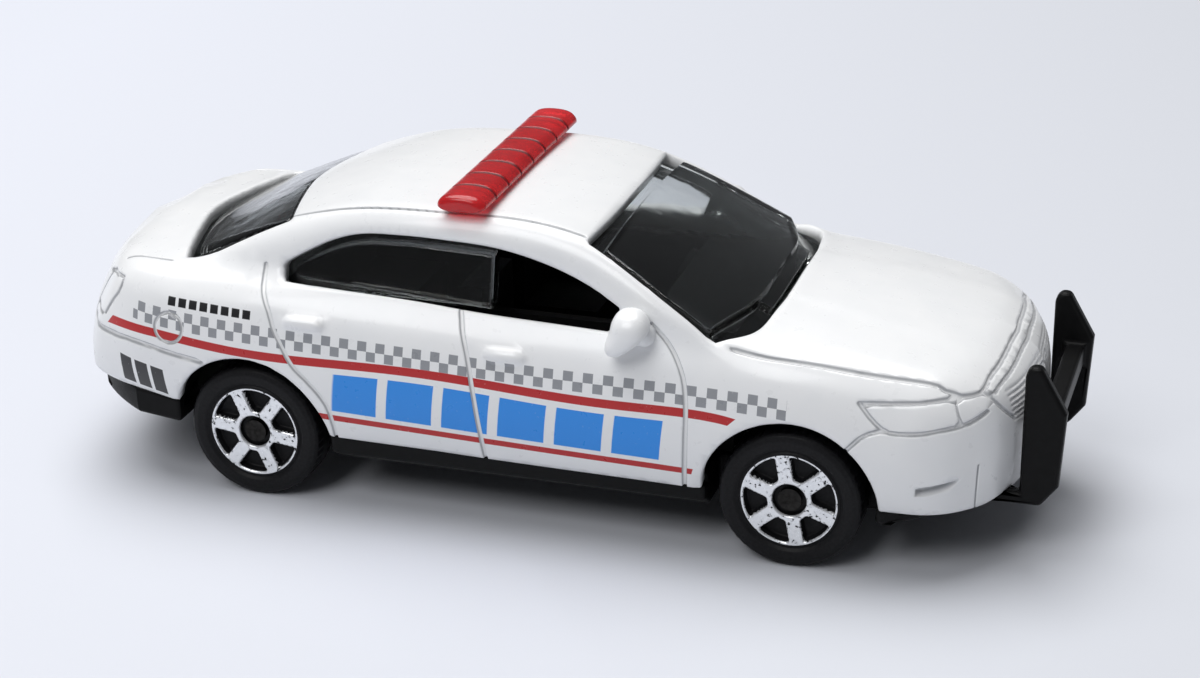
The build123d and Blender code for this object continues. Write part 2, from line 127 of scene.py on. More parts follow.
class Finish:
    """A Principled material with its Object coordinates in millimetres."""

    def __init__(self, name, **constants):
        self.material = bpy.data.materials.new(name)
        self.material.use_nodes = True
        self.tree = self.material.node_tree
        self.shader = self.tree.nodes["Principled BSDF"]
        for key, value in constants.items():
            self.shader.inputs[key.replace("_", " ")].default_value = value
        self.start = Field(self.tree, None)
        place = self.start.field("ShaderNodeTexCoord", "Object")
        self.place = self.start.field(
            "ShaderNodeVectorMath", 0, {"operation": "MULTIPLY"}, i0=place, i1=(1 / MM, 1 / MM, 1 / MM)
        )
        split = self.start.node("ShaderNodeSeparateXYZ", None, i0=self.place)
        self.x, self.y, self.z = (Field(self.tree, split.outputs[i]) for i in range(3))

    def noise(self, scale, detail=3.0, rough=0.5):
        return self.start.field(
            "ShaderNodeTexNoise", 0, None, Vector=self.place, Scale=scale, Detail=detail, Roughness=rough
        )

    def set(self, **fields):
        for key, value in fields.items():
            self.tree.links.new(value.socket, self.shader.inputs[key.replace("_", " ")])
        return self

    def bump(self, height, distance):
        normal = self.start.field("ShaderNodeBump", 0, None, Height=height, Distance=distance * MM)
        return self.set(Normal=normal)


WHITE = (0.84, 0.845, 0.85)
OFF_WHITE = (0.81, 0.82, 0.83)
# grey painted as shade on the walls of the engraved channels and in the fog slots
CHANNEL_SHADE = (0.30, 0.31, 0.33)
RED = (0.46, 0.004, 0.005)
GREY = (0.29, 0.30, 0.32)
BLUE = (0.008, 0.25, 0.78)
INK = (0.012, 0.012, 0.014)


# printed side in x and z: middle lines of the stripes, top line of the squares and their count along x
UPPER_LINE = [(-32.4, 12.86), (-29.9, 12.9), (-28.0, 12.78), (-25.65, 12.45), (-23.5, 12.1)]
UPPER_LINE += [(-20.3, 11.9), (-17.3, 12.07), (-15.8, 12.13), (-9.8, 12.02), (-3.2, 11.81)]
UPPER_LINE += [(1.8, 11.7), (13.6, 11.44), (16.2, 11.24)]
LOWER_LINE = [(-14.9, 7.68), (-12.0, 7.57), (12.9, 6.9)]
SQUARE_LINE = [(-29.24, 14.84), (-25.33, 14.44), (-23.9, 14.33), (-21.25, 14.17), (-17.09, 14.15)]
SQUARE_LINE += [(-14.27, 13.98), (-8.63, 13.79), (-4.43, 13.68), (1.34, 13.52), (7.2, 13.45)]
SQUARE_LINE += [(14.51, 13.41), (18.97, 13.22)]
SQUARE_COUNT = [(-29.24, -0.5), (-21.25, 11.5), (-14.27, 21.5), (-4.43, 35.5), (4.19, 47.5)]
SQUARE_COUNT += [(10.17, 55.5), (18.97, 67.5)]
DASH_LINE = [(-27.1, 15.15), (-23.5, 14.95), (-20.1, 14.8)]
UPPER_STRIPE = dict(line=UPPER_LINE, half=0.34, start=-32.4, end=16.2, slant=0.9)
LOWER_STRIPE = dict(line=LOWER_LINE, half=0.27, start=-15.2, end=13.3, slant=0.3)
SQUARES = dict(line=SQUARE_LINE, count=SQUARE_COUNT, cell=0.7, start=-30.0, end=20.0)
BLOCKS = dict(start=-14.0, end=11.8, count=6, share=0.82, slant=0.12, over=0.75, below=0.6, z=9.0)
DASHES = dict(line=DASH_LINE, half=0.33, start=-27.1, end=-20.1, count=8, share=0.72)
TAIL_BLOCKS = dict(start=-31.4, end=-27.4, count=3, share=0.78, tall=2.3, foot=8.3, lean=0.22)
PRINT_FROM_Y = (11.0, 11.4)
LINE_DEGREE = 6
ROW_SOFT = 0.012
PRINT_SOFT = 0.04


def line_of(finish, points):
    """Value along x of the polynomial that lies nearest to the points."""
    total = None
    for factor in np.polyfit(*zip(*points), min(len(points) - 1, LINE_DEGREE)):
        total = float(factor) if total is None else total * finish.x + float(factor)
    return total


def between(value, start, end):
    return value.step(start, start + PRINT_SOFT) * (1 - value.step(end - PRINT_SOFT, end))


def stripe(finish, size):
    """Band about a line, with slanting ends."""
    off = finish.z - line_of(finish, size["line"])
    band = (size["half"] - off.size()).step(0.0, PRINT_SOFT)
    return band * between(finish.x - size["slant"] * off, size["start"], size["end"])


def squares(finish):
    """Two staggered rows of squares under a line."""
    down = (line_of(finish, SQUARES["line"]) - finish.z) / SQUARES["cell"]
    across = line_of(finish, SQUARES["count"])
    odd = finish.start.math("FLOORED_MODULO", across.math("FLOOR", across) + down.math("FLOOR", down), 2.0)
    return odd * between(down, 0.0, 2.0) * between(finish.x, SQUARES["start"], SQUARES["end"])


def in_row(finish, along_x, size):
    """Even parts along a row from start to end, each covering a share of its place."""
    at = (along_x - size["start"]) * (size["count"] / (size["end"] - size["start"]))
    part = finish.start.math("FRACT", at)
    wide = part.step(0.0, ROW_SOFT) * (1 - part.step(size["share"], size["share"] + ROW_SOFT))
    return wide * between(at, 0.0, float(size["count"]))


def blocks(finish):
    """Plain leaning blocks in a row between the two stripes."""
    top = line_of(finish, UPPER_LINE) - BLOCKS["over"]
    foot = line_of(finish, LOWER_LINE) + BLOCKS["below"]
    tall = (top - finish.z).step(0.0, PRINT_SOFT) * (finish.z - foot).step(0.0, PRINT_SOFT)
    return tall * in_row(finish, finish.x - BLOCKS["slant"] * (finish.z - BLOCKS["z"]), BLOCKS)


def dashes(finish):
    """Short plain bars in a row over the squares at the back."""
    off = (finish.z - line_of(finish, DASHES["line"])).size()
    return (DASHES["half"] - off).step(0.0, PRINT_SOFT) * in_row(finish, finish.x, DASHES)


def tail_blocks(finish):
    """Three plain blocks behind the rear wheel."""
    low = TAIL_BLOCKS["foot"] - TAIL_BLOCKS["lean"] * (finish.x - TAIL_BLOCKS["start"])
    return between(finish.z - low, 0.0, TAIL_BLOCKS["tall"]) * in_row(finish, finish.x, TAIL_BLOCKS)


def white_enamel():
    """Gloss white enamel, printed on both sides in red, grey, blue and black. The print misses the engraved
    channels, whose walls get painted shade, as do the fog slots."""
    finish = Finish("white_enamel", IOR=1.5, Coat_Roughness=0.06)
    soft = finish.noise(0.35, 2.0)
    sunk = finish.start.field("ShaderNodeAttribute", "Fac", {"attribute_name": "sunk"})
    colour = soft.step(0.3, 0.8).mix(WHITE, OFF_WHITE)
    flank = finish.y.size().step(*PRINT_FROM_Y) * (1 - sunk.step(0.1, 0.4))
    worn = 1 - 0.2 * finish.noise(4.0, 4.0).step(0.68, 0.8)
    for mask, ink in (
        (squares(finish), GREY),
        (stripe(finish, UPPER_STRIPE), RED),
        (stripe(finish, LOWER_STRIPE), RED),
        (blocks(finish), BLUE),
        (dashes(finish), INK),
        (tail_blocks(finish), INK),
    ):
        colour = (mask * flank * worn).mix(colour, ink)
    # painted shade on the channel walls, strongest midway down each wall, and in the fog slots
    colour = (sunk * (1 - sunk) * (2.6 + finish.noise(1.5))).low(0.8).mix(colour, CHANNEL_SHADE)
    finish.set(Base_Color=colour, Roughness=0.24 + 0.1 * finish.noise(1.2), Coat_Weight=0.15 + 0.1 * soft)
    return finish.bump(finish.noise(1.4, 2.0), 0.004).material


def smoked_clear():
    """Clear plastic with a light grey tint and slight moulding waves."""
    finish = Finish("smoked_clear", IOR=1.49, Transmission_Weight=1.0)
    finish.set(Base_Color=finish.noise(0.4).step(0.2, 0.9).mix((0.66, 0.70, 0.70), (0.76, 0.79, 0.79)))
    finish.set(Roughness=0.02 + 0.05 * finish.noise(1.5))
    return finish.bump(finish.noise(0.5, 1.0), 0.012).material


def red_clear():
    """Translucent red plastic, darker in the joints between its segments."""
    finish = Finish("red_clear", IOR=1.46, Transmission_Weight=0.6)
    joint = finish.start.field("ShaderNodeAttribute", "Fac", {"attribute_name": "joint"})
    colour = finish.noise(0.7).step(0.2, 0.9).mix((0.78, 0.022, 0.028), (0.88, 0.055, 0.065))
    finish.set(Base_Color=joint.step(0.02, 0.25).mix(colour, (0.16, 0.0, 0.004)))
    finish.set(Roughness=0.14 + 0.1 * finish.noise(2.0) + 0.6 * joint)
    return finish.bump(finish.noise(1.6, 2.0), 0.02).material


def satin_black(name, shade, rough):
    """Moulded black plastic with a fine spark-eroded grain."""
    finish = Finish(name, IOR=1.5, Specular_IOR_Level=0.12)
    tone = finish.noise(1.3).step(0.3, 0.8)
    finish.set(Base_Color=tone.mix((shade, shade, shade * 1.06), (shade * 1.5, shade * 1.5, shade * 1.55)))
    finish.set(Roughness=rough + 0.14 * finish.noise(4.0))
    return finish.bump(finish.noise(14.0, 2.0), 0.01).material


def drawn_steel():
    """Dull steel wire with a fine grain, its colour darkened nearly to black as painted shade where the axle
    ends sit in the hub holes.
    """
    finish = Finish("drawn_steel", Metallic=1.0)
    tone = finish.noise(3.0).step(0.2, 0.9)
    # near-black colour: painted shade for the axle ends in the hub holes
    finish.set(Base_Color=tone.mix((0.010, 0.0095, 0.009), (0.04, 0.038, 0.036)))
    finish.set(Roughness=0.3 + 0.15 * finish.noise(6.0))
    return finish.bump(finish.noise(10.0), 0.006).material


def foil_black():
    """Black wheel plastic with silver foil on the raised face, chipped along its edges."""
    finish = Finish("foil_black", IOR=1.5, Specular_IOR_Level=0.16)
    foil = finish.start.field("ShaderNodeAttribute", "Fac", {"attribute_name": "foil"})
    chips = finish.noise(3.2, 4.0, 0.7).step(0.39, 0.43)
    edge = (foil * 1.6 - 0.6 * finish.noise(6.0, 2.0)).step(0.35, 0.5)
    silver = edge * chips
    grain = finish.noise(5.0).step(0.3, 0.7)
    dark = grain.mix((0.005, 0.005, 0.006), (0.010, 0.010, 0.011))
    bright = grain.mix((0.80, 0.82, 0.85), (0.88, 0.89, 0.91))
    finish.set(Base_Color=silver.mix(dark, bright), Metallic=silver * 0.6, Roughness=0.46 - 0.2 * silver)
    return finish.bump(finish.noise(12.0, 2.0), 0.008).material


LOOKS = dict(
    paint=white_enamel(),
    clear=smoked_clear(),
    red_lens=red_clear(),
    trim=satin_black("moulded_trim", 0.003, 0.55),
    black=satin_black("satin_base", 0.004, 0.34),
    steel=drawn_steel(),
    wheel=foil_black(),
)

slots = {row["node"]: row["material_slot"] for row in frame["record"]["subparts"]}
for name, node in frame["nodes"].items():
    node.data.materials.clear()
    node.data.materials.append(LOOKS[slots[name]])

# the base is a moulding, so its edges are a little round
BASE_EDGE = 0.3
BASE_EDGE_STEPS = 3
BASE_EDGE_FROM = 35
BASE_WELD = 0.001
base = frame["nodes"]["base"]
base.modifiers.new("weld", "WELD").merge_threshold = BASE_WELD * MM
soft_edge = base.modifiers.new("soft_edge", "BEVEL")
soft_edge.width = BASE_EDGE * MM
soft_edge.segments = BASE_EDGE_STEPS
soft_edge.use_clamp_overlap = False
soft_edge.loop_slide = False
soft_edge.limit_method = "ANGLE"
soft_edge.angle_limit = math.radians(BASE_EDGE_FROM)

# lower body along x in millimetres: sill, waist and shoulder half widths with heights, and crown height
BODY_X = [-39.0, -33.0, -22.0, -5.0, 10.0, 20.0, 28.0, 36.6]
BODY = dict(
    sill=[11.8, 12.8, 13.5, 13.4, 13.4, 13.4, 13.0, 12.2],
    sill_z=[9.0, 8.3, 6.6, 5.9, 5.7, 5.6, 5.5, 5.5],
    waist=[12.9, 13.6, 14.2, 14.2, 14.2, 14.2, 13.7, 12.8],
    waist_z=[12.0, 11.5, 10.8, 10.2, 9.8, 9.6, 9.4, 9.2],
    edge=[11.3, 11.9, 12.4, 12.5, 12.5, 12.3, 11.6, 10.4],
    edge_z=[16.5, 16.9, 17.0, 16.3, 16.0, 15.8, 14.9, 13.2],
    top=[17.1, 17.5, 17.9, 17.8, 17.8, 17.1, 16.0, 14.2],
)
# cabin along x: half widths at its foot and roof rail, rail height and crown height
CABIN_X = [-31.0, -27.0, -20.5, -13.5, -6.5, 4.5, 12.0, 18.5, 30.0]
CABIN = dict(
    foot=[12.0, 12.3, 12.6, 12.7, 12.8, 12.8, 12.9, 12.6, 12.2],
    rail=[9.6, 9.9, 10.1, 10.2, 10.4, 10.9, 12.3, 12.35, 12.2],
    rail_z=[15.6, 17.4, 20.1, 22.4, 22.95, 21.9, 18.1, 14.7, 8.0],
    top=[16.6, 18.1, 21.0, 22.95, 23.3, 22.5, 19.6, 16.9, 10.0],
)
CABIN_FOOT_Z = 12.0
CABIN_LEAST = 2.0
CABIN_REAR = -31.0
CABIN_FRONT = 26.0
# nose and tail reach at the middle along z, and how far they fall back along y
REACH_Z = [1.0, 9.0, 13.0, 15.2, 26.0]
NOSE_REACH = [34.4, 36.0, 35.2, 33.3, 24.0]
TAIL_REACH = [-37.4, -38.3, -37.3, -36.2, -30.0]
NOSE_Y = [0.0, 7.0, 11.0, 14.0, 15.6]
NOSE_FALL = [0.0, 1.05, 3.25, 7.85, 14.0]
TAIL_Y = [0.0, 10.0, 12.5, 14.4, 15.6]
TAIL_FALL = [0.0, 2.7, 4.6, 8.3, 14.0]
SHOULDER_SOFT = 1.7
RAIL_SOFT = 1.6
NOSE_SOFT = 1.6
TAIL_SOFT = 2.0
CABIN_SOFT = 1.0
UNDER = 1.5
SILL_RUN = 0.4

WHEEL_R = 5.2
ARCH_R = 6.3
AXLES = (-20.9, 20.1)


def along(at, places, values):
    """Smooth curve through values at places: cubic Hermite with slopes from the neighbours."""
    p = np.asarray(places, float)
    v = np.asarray(values, float)
    rise = np.diff(v) / np.diff(p)
    inner = (rise[:-1] * np.diff(p)[1:] + rise[1:] * np.diff(p)[:-1]) / (p[2:] - p[:-2])
    slope = np.concatenate([[rise[0]], inner, [rise[-1]]])
    at = np.clip(at, p[0], p[-1])
    i = np.clip(np.searchsorted(p, at) - 1, 0, len(p) - 2)
    h = p[i + 1] - p[i]
    t = (at - p[i]) / h
    first = v[i] + t * (h * slope[i] + t * (3 * (v[i + 1] - v[i]) - h * (2 * slope[i] + slope[i + 1])))
    return first + t**3 * (h * (slope[i] + slope[i + 1]) - 2 * (v[i + 1] - v[i]))


def soft_high(a, b, reach):
    """The higher of two fields with the crease between them rounded over reach."""
    return np.maximum(a, b) + np.maximum(reach - np.abs(a - b), 0) ** 2 / (4 * reach)


def soft_low(a, b, reach):
    return -soft_high(-a, -b, reach)


def lower_field(x, y, z):
    """Below 0 inside the lower body: barrel side, crowned top, nose and tail, with rounded meetings.
    The side is a parabola through sill, waist and shoulder; the top a parabola across the car."""
    size = {name: along(x, BODY_X, row) for name, row in BODY.items()}
    a, b, c = size["sill_z"], size["waist_z"], size["edge_z"]
    wide = size["sill"] * (z - b) * (z - c) / ((a - b) * (a - c))
    wide = wide + size["waist"] * (z - a) * (z - c) / ((b - a) * (b - c))
    wide = wide + size["edge"] * (z - a) * (z - b) / ((c - a) * (c - b))
    side = np.abs(y) - wide
    top = z - size["top"] + (size["top"] - c) * (y / size["edge"]) ** 2
    nose = x - along(z, REACH_Z, NOSE_REACH) + along(np.abs(y), NOSE_Y, NOSE_FALL)
    tail = along(z, REACH_Z, TAIL_REACH) + along(np.abs(y), TAIL_Y, TAIL_FALL) - x
    shell = np.maximum(soft_high(side, top, SHOULDER_SOFT), a - UNDER - z)
    return soft_high(soft_high(shell, nose, NOSE_SOFT), tail, TAIL_SOFT)


def cabin_field(x, y, z):
    """Below 0 inside the cabin: straight leaning sides under a crowned roof, with a rounded rail."""
    size = {name: along(x, CABIN_X, row) for name, row in CABIN.items()}
    climb = (z - CABIN_FOOT_Z) / np.maximum(size["rail_z"] - CABIN_FOOT_Z, CABIN_LEAST)
    side = np.abs(y) - size["foot"] - (size["rail"] - size["foot"]) * climb
    top = z - size["top"] + (size["top"] - size["rail_z"]) * (y / size["rail"]) ** 2
    return np.maximum(soft_high(side, top, RAIL_SOFT), np.maximum(CABIN_REAR - x, x - CABIN_FRONT))


def body_field(x, y, z):
    """The lower body and the cabin above its foot, with a soft meeting."""
    return soft_low(lower_field(x, y, z), np.maximum(cabin_field(x, y, z), CABIN_FOOT_Z - z), CABIN_SOFT)


# line that the rays start from, their length and range of turn above the sills, steps of the searches
# along them, and shares cut from the runs of an outline
CORE = dict(rear=-27.0, front=24.0, z=8.0)
FAR = 45.0
HALVINGS = 21
SECANTS = 3
CHORD = 0.3
QUARTER = 0.25
ROUNDINGS = 3
TINY = 1e-9
SKIN_ABOVE = (-20, 200)


def ray_place(s, turn):
    """Start and direction of the ray at (s, turn). s runs from -1, straight back, through 0 to 1 along the
    core line and on to 2, straight forward; turn is the angle about that line, up at a quarter turn."""
    lean = np.where(s < 0, 1 + s, np.where(s > 1, 2 - s, 1)) * math.pi / 2
    x = CORE["rear"] + (CORE["front"] - CORE["rear"]) * np.clip(s, 0, 1)
    ahead = np.cos(lean) * np.where(s > 0.5, 1, -1)
    start = np.stack([x, 0 * x, 0 * x + CORE["z"]], 1)
    way = np.stack([ahead, np.sin(lean) * np.cos(turn), np.sin(lean) * np.sin(turn)], 1)
    return start, way


def on_surface(uv, field):
    """Points where the rays leave the field, found by halving."""
    start, way = ray_place(uv[:, 0], uv[:, 1])
    near = np.zeros(len(uv))
    far = np.full(len(uv), FAR)
    for _ in range(HALVINGS):
        mid = (near + far) / 2
        inside = field(*(start + way * mid[:, None]).T) < 0
        near = np.where(inside, mid, near)
        far = np.where(inside, far, mid)
    return start + way * near[:, None]


def facing(points, field, step=0.02):
    """Unit outward direction of the field at the points, by differences."""
    slope = np.stack([field(*(points + d).T) - field(*(points - d).T) for d in np.eye(3) * step], 1)
    return slope / np.linalg.norm(slope, axis=1, keepdims=True)


def ramp(value, start, end):
    """0 before start, 1 after end, smooth between."""
    t = np.clip((value - start) / (end - start), 0, 1)
    return t * t * (3 - 2 * t)


def way_along(points):
    """Length of a polyline from its start to each of its points."""
    return np.concatenate([[0], np.cumsum(np.linalg.norm(np.diff(points, axis=0), axis=1))])


def smooth_run(points, step=0.6):
    """Smooth curve through points, as a polyline with even steps."""
    p = np.asarray(points, float)
    way = way_along(p)
    at = np.linspace(0, way[-1], int(way[-1] / step) + 2)
    curve = np.interp if len(p) == 2 else along
    return np.stack([curve(at, way, p[:, k]) for k in range(2)], 1)


def corner_cut(points, share, rounds):
    """Rounds a closed polyline's corners: each run loses this share at both its ends."""
    p = np.asarray(points, float)
    for _ in range(rounds):
        q = np.roll(p, -1, 0)
        p = np.stack([(1 - share) * p + share * q, share * p + (1 - share) * q], 1).reshape(-1, 2)
    return p


def closed_outline(*runs):
    """Smooth runs, each from where the one before it ends, with their corners cut once by a short chord."""
    starts = [run[-1] for run in runs[-1:] + runs[:-1]]
    return corner_cut(np.vstack([smooth_run([p, *run])[:-1] for p, run in zip(starts, runs)]), CHORD, 1)


def screen_outline(top, side, foot):
    """Outline of a screen in x and y from its near half: top and foot edges from the middle out, and what
    the side passes between their ends."""
    across = np.array([1, -1])
    top, side, foot = np.array(top), np.array([top[-1], *side, foot[-1]]), np.array(foot)
    far_top = top[-2:0:-1] * across
    far_foot = foot[1:] * across
    return closed_outline([*far_top, *top], side[1:], [*foot[-2::-1], *far_foot], side[-2::-1] * across)


# window outlines: sides in x and z, screens in x and y
SIDE_OUTLINE = closed_outline(
    [(-18.65, 18.15)],
    [(-16.95, 19.15), (-14.4, 20.4), (-12.7, 20.9), (-9.6, 21.15), (-5.7, 21.17), (-2.0, 21.0)]
    + [(1.0, 20.45), (3.7, 19.65), (5.9, 18.7), (7.5, 17.8)],
    [(7.2, 17.1), (6.8, 16.2)],
    [(2.7, 16.3), (-2.7, 16.46), (-8.2, 16.76), (-13.8, 16.95), (-18.4, 17.1)],
)
FRONT_OUTLINE = screen_outline(
    [(5.1, 0.0), (5.0, 5.0), (4.6, 10.0)],
    [(9.6, 11.3)],
    [(17.9, 0.0), (17.6, 6.3), (16.5, 10.7), (14.5, 12.35)],
)
REAR_OUTLINE = screen_outline(
    [(-20.4, 0.0), (-19.6, 5.0), (-18.6, 9.1)],
    [(-23.2, 9.65)],
    [(-29.3, 0.0), (-28.4, 5.0), (-27.0, 10.0)],
)
SIDE_FROM_Y = 8.0
SCREEN_FROM_Z = 14.5
GLAZED_TO_X = -2.3
NOT_HERE = 50.0
BOX_REACH = 2.0


def in_box(a, b, line):
    """Places within reach of a line's box."""
    low, high = line.min(0) - BOX_REACH, line.max(0) + BOX_REACH
    return (a > low[0]) & (a < high[0]) & (b > low[1]) & (b < high[1])


def line_gap(a, b, line, closed=False):
    """Distance from places (a, b) to a polyline and the step from its nearest point."""
    ends = np.roll(line, -1, 0) if closed else line[1:]
    best = np.full(len(a), 1e9)
    step = np.zeros((len(a), 2))
    for start, end in zip(line, ends):
        run = end - start
        t = np.clip(((a - start[0]) * run[0] + (b - start[1]) * run[1]) / (run @ run), 0, 1)
        off = np.stack([a - start[0] - t * run[0], b - start[1] - t * run[1]], 1)
        gap = np.hypot(off[:, 0], off[:, 1])
        nearer = gap < best
        best = np.where(nearer, gap, best)
        step[nearer] = off[nearer]
    return best, step


def area_gap(a, b, line, valid):
    """Distance from places to a closed outline, below 0 inside it; far away where the view isn't valid."""
    result = np.full(len(a), NOT_HERE)
    here = np.flatnonzero(valid & in_box(a, b, line))
    a, b = a[here], b[here]
    gap, _ = line_gap(a, b, line, closed=True)
    inside = np.zeros(len(a), bool)
    for start, end in zip(line, np.roll(line, -1, 0)):
        crosses = (start[1] > b) != (end[1] > b)
        reach = start[0] + (b - start[1]) * (end[0] - start[0]) / (end[1] - start[1] + 1e-12)
        inside ^= crosses & (a < reach)
    result[here] = np.where(inside, -gap, gap)
    return result


def side_gap(points, line):
    """Distance to an outline on the car's sides, below 0 inside it."""
    x, y, z = points.T
    return area_gap(x, z, line, np.abs(y) > SIDE_FROM_Y)


def screen_gap(points, line):
    """Distance to an outline seen from above, below 0 inside it."""
    x, y, z = points.T
    return area_gap(x, y, line, z > SCREEN_FROM_Z)


def window_gap(points, side, *screens):
    """Distance to the nearest of a side outline and some screens, below 0 inside one."""
    return np.minimum.reduce([side_gap(points, side), *(screen_gap(points, line) for line in screens)])


def rim_gap(points):
    """Distance inside the casting's lower rim: above its edge at the sills and outside the wheel arches."""
    x, y, z = points.T
    gap = z - along(x, BODY_X, BODY["sill_z"]) + SILL_RUN
    for axle in AXLES:
        gap = np.minimum(gap, np.hypot(x - axle, z - WHEEL_R) - ARCH_R)
    return gap


def open_gap(points, normals):
    """Above 0 where there is casting: clear of windows, arches and the open underside."""
    windows = window_gap(points, SIDE_OUTLINE, FRONT_OUTLINE, REAR_OUTLINE)
    return np.minimum(windows, rim_gap(points))


# engraved channels as half width, softness and middle line: sides in x and z, top in x and y,
# nose and tail in y and z
DOOR = 0.19
REAR_DOOR = [(-20.05, 17.9), (-19.95, 17.1), (-19.57, 16.3), (-18.92, 15.2), (-18.4, 13.95), (-17.85, 13.05)]
REAR_DOOR += [(-16.85, 11.45), (-15.83, 10.5), (-14.85, 9.4), (-14.35, 8.5), (-14.1, 7.1), (-14.1, 4.5)]
LAMP_LOW = [(24.9, 13.3), (25.95, 12.2), (26.7, 11.65), (28.6, 11.5), (30.8, 11.75), (32.3, 11.95)]
LAMP_LOW += [(33.2, 12.4)]
BONNET_END = [(11.0, 14.05), (10.7, 13.65), (9.9, 13.5), (8.85, 13.65), (7.6, 13.95), (5.6, 14.2)]
BONNET_END += [(2.5, 14.4), (0.0, 14.45)]
SIDE_LINES = [
    (DOOR, 1.0, REAR_DOOR),
    (DOOR, 1.0, [(-4.4, 16.6), (-4.1, 15.6), (-3.5, 13.9), (-2.95, 11.4), (-2.55, 8.35), (-2.35, 4.5)]),
    (DOOR, 1.0, [(9.9, 17.1), (11.55, 15.55), (12.5, 13.9), (12.85, 12.0), (12.85, 9.4), (12.5, 4.5)]),
    (0.23, 2.0, [(-33.6, 11.9), (-32.3, 11.95), (-29.55, 11.8), (-27.0, 11.3), (-24.3, 10.9)]),
    (0.16, 1.4, [(-33.6, 15.6), (-32.2, 16.0), (-31.35, 16.05)]),
    (0.16, 1.4, [(-31.35, 16.05), (-31.45, 15.3), (-32.2, 14.3), (-33.0, 13.1)]),
    (0.19, 1.7, [(24.2, 10.0), (25.4, 11.2), (26.7, 11.65)]),
    (0.08, 0.75, [(32.9, 8.8), (32.7, 4.6)]),
    (0.21, 1.9, [(24.9, 13.3), (28.1, 13.42), (31.0, 13.56), (32.7, 13.5)]),
    (0.19, 1.7, LAMP_LOW),
    (0.11, 1.0, [(31.2, 13.4), (31.35, 12.8), (31.75, 12.0)]),
]
TOP_LINES = [
    (0.13, 1.15, [(-18.6, 8.7), (-15.5, 9.15), (-7.4, 9.6), (-0.7, 9.55), (4.3, 9.6)]),
    (0.22, 1.7, [(15.7, 12.3), (18.5, 12.2), (21.9, 12.0), (25.5, 11.7), (30.0, 10.95)]),
    (0.12, 1.05, [(-31.9, 10.0), (-27.9, 10.4)]),
]
NOSE_LINES = [
    (0.21, 1.9, BONNET_END),
    (0.19, 1.7, [(8.6, 13.2), (8.0, 13.3), (6.4, 13.55), (3.2, 13.8), (0.0, 13.9)]),
    (0.19, 1.7, [(9.3, 13.35), (8.9, 12.55), (8.2, 11.7), (7.4, 11.0)]),
]
TAIL_LINES = [
    (0.23, 2.0, [(13.4, 11.9), (12.0, 11.9), (6.0, 11.85), (0.0, 11.85)]),
    (0.16, 1.4, [(11.3, 15.9), (10.2, 15.95)]),
    (0.16, 1.4, [(10.2, 15.95), (9.9, 14.9), (9.5, 13.2), (9.3, 11.9)]),
    (0.16, 1.4, [(11.9, 12.95), (9.45, 12.95)]),
]
LINE_GROUPS = [
    [(half, soft, smooth_run(line)) for half, soft, line in lines]
    for lines in (SIDE_LINES, TOP_LINES, NOSE_LINES, TAIL_LINES)
]
CHANNEL_D = 0.2
CHANNEL_WALL = 0.09
FUEL_CAP = dict(x=-26.95, z=13.2, r=1.13, half=0.14)
FOG_SLOT = closed_outline([(28.9, 7.5)], [(31.95, 8.0)], [(31.2, 7.35), (29.0, 6.75)])
FOG_FROM_Y = 9.0
FOG_D = 0.55
FOG_WALL = 0.16
# share of painted shade in the fog slots
FOG_SHADE = 0.2
GRILLE = dict(half=7.6, low=10.6, high=13.1, pitch=0.36, deep=0.07, edge=0.3, from_x=30.0)
HANDLES = [(-16.1, 14.65), (-0.63, 13.97)]
HANDLE_HALF = 1.1
HANDLE_R = 0.56
HANDLE_OUT = 0.42
HANDLE_EDGE = (-0.1, 0.44)
HANDLE_FROM_Y = 10.0
# the bonnet's raised middle: its edge in x and y, and where it fades in and out along x
CREASE = [(17.0, 4.4), (27.0, 5.9), (31.0, 6.2)]
CREASE_H = 0.07
CREASE_SOFT = 0.25
CREASE_START = (15.0, 18.0)
CREASE_END = (29.0, 32.0)
CREASE_FROM_Z = 13.0
LIP = 0.22
WALL = 0.9
WELD = 1e-4
MERGE = 1e-5
LEAN_LEFT = 0.06
# where each flat view holds: from this lean of the skin and from this place outward
VIEW_FROM = dict(side=(0.25, 8.5), top=(0.3, 13.0), nose=(0.2, 29.0), tail=(0.3, 30.0), cap=(0.25, 10.0))


def along_skin(gap, step, ahead, across):
    """Turns a gap seen in a flat view into one along the skin, from how the skin leans along the step."""
    lean = (step[:, 0] * ahead + step[:, 1] * across) / np.maximum(gap, TINY)
    return gap / np.sqrt(np.maximum(1 - lean**2, LEAN_LEFT))


def in_view(name, lean, place):
    """Where the skin faces a view and lies far enough out for it."""
    return (lean > VIEW_FROM[name][0]) & (place > VIEW_FROM[name][1])


def line_views(points, normals):
    """The flat views that hold the channels: the two places, the skin's lean along them, and where the
    view holds."""
    x, y, z = points.T
    nx, ny, nz = normals.T
    wide = np.abs(y)
    out = ny * np.sign(y)
    return (
        (x, z, nx, nz, in_view("side", out, wide)),
        (x, wide, nx, out, in_view("top", nz, z)),
        (wide, z, out, nz, in_view("nose", nx, x)),
        (wide, z, out, nz, in_view("tail", -nx, -x)),
    )


def ring_way(points, normals):
    """Distance outside the middle line of the ring around the fuel cap, on the near side."""
    x, y, z = points.T
    way = np.hypot(x - FUEL_CAP["x"], z - FUEL_CAP["z"]) - FUEL_CAP["r"]
    return np.where(in_view("cap", -normals[:, 1], -y), way, NOT_HERE)


def seam_edge(points, normals):
    """Distance along the skin to the nearest engraved channel, below 0 inside it, over its softness."""
    best = np.abs(ring_way(points, normals)) - FUEL_CAP["half"]
    for lines, (a, b, lean_a, lean_b, holds) in zip(LINE_GROUPS, line_views(points, normals)):
        for half, soft, line in lines:
            here = np.flatnonzero(holds & in_box(a, b, line))
            gap, step = line_gap(a[here], b[here], line)
            edge = (along_skin(gap, step, lean_a[here], lean_b[here]) - half) / soft
            best[here] = np.minimum(best[here], edge)
    return best


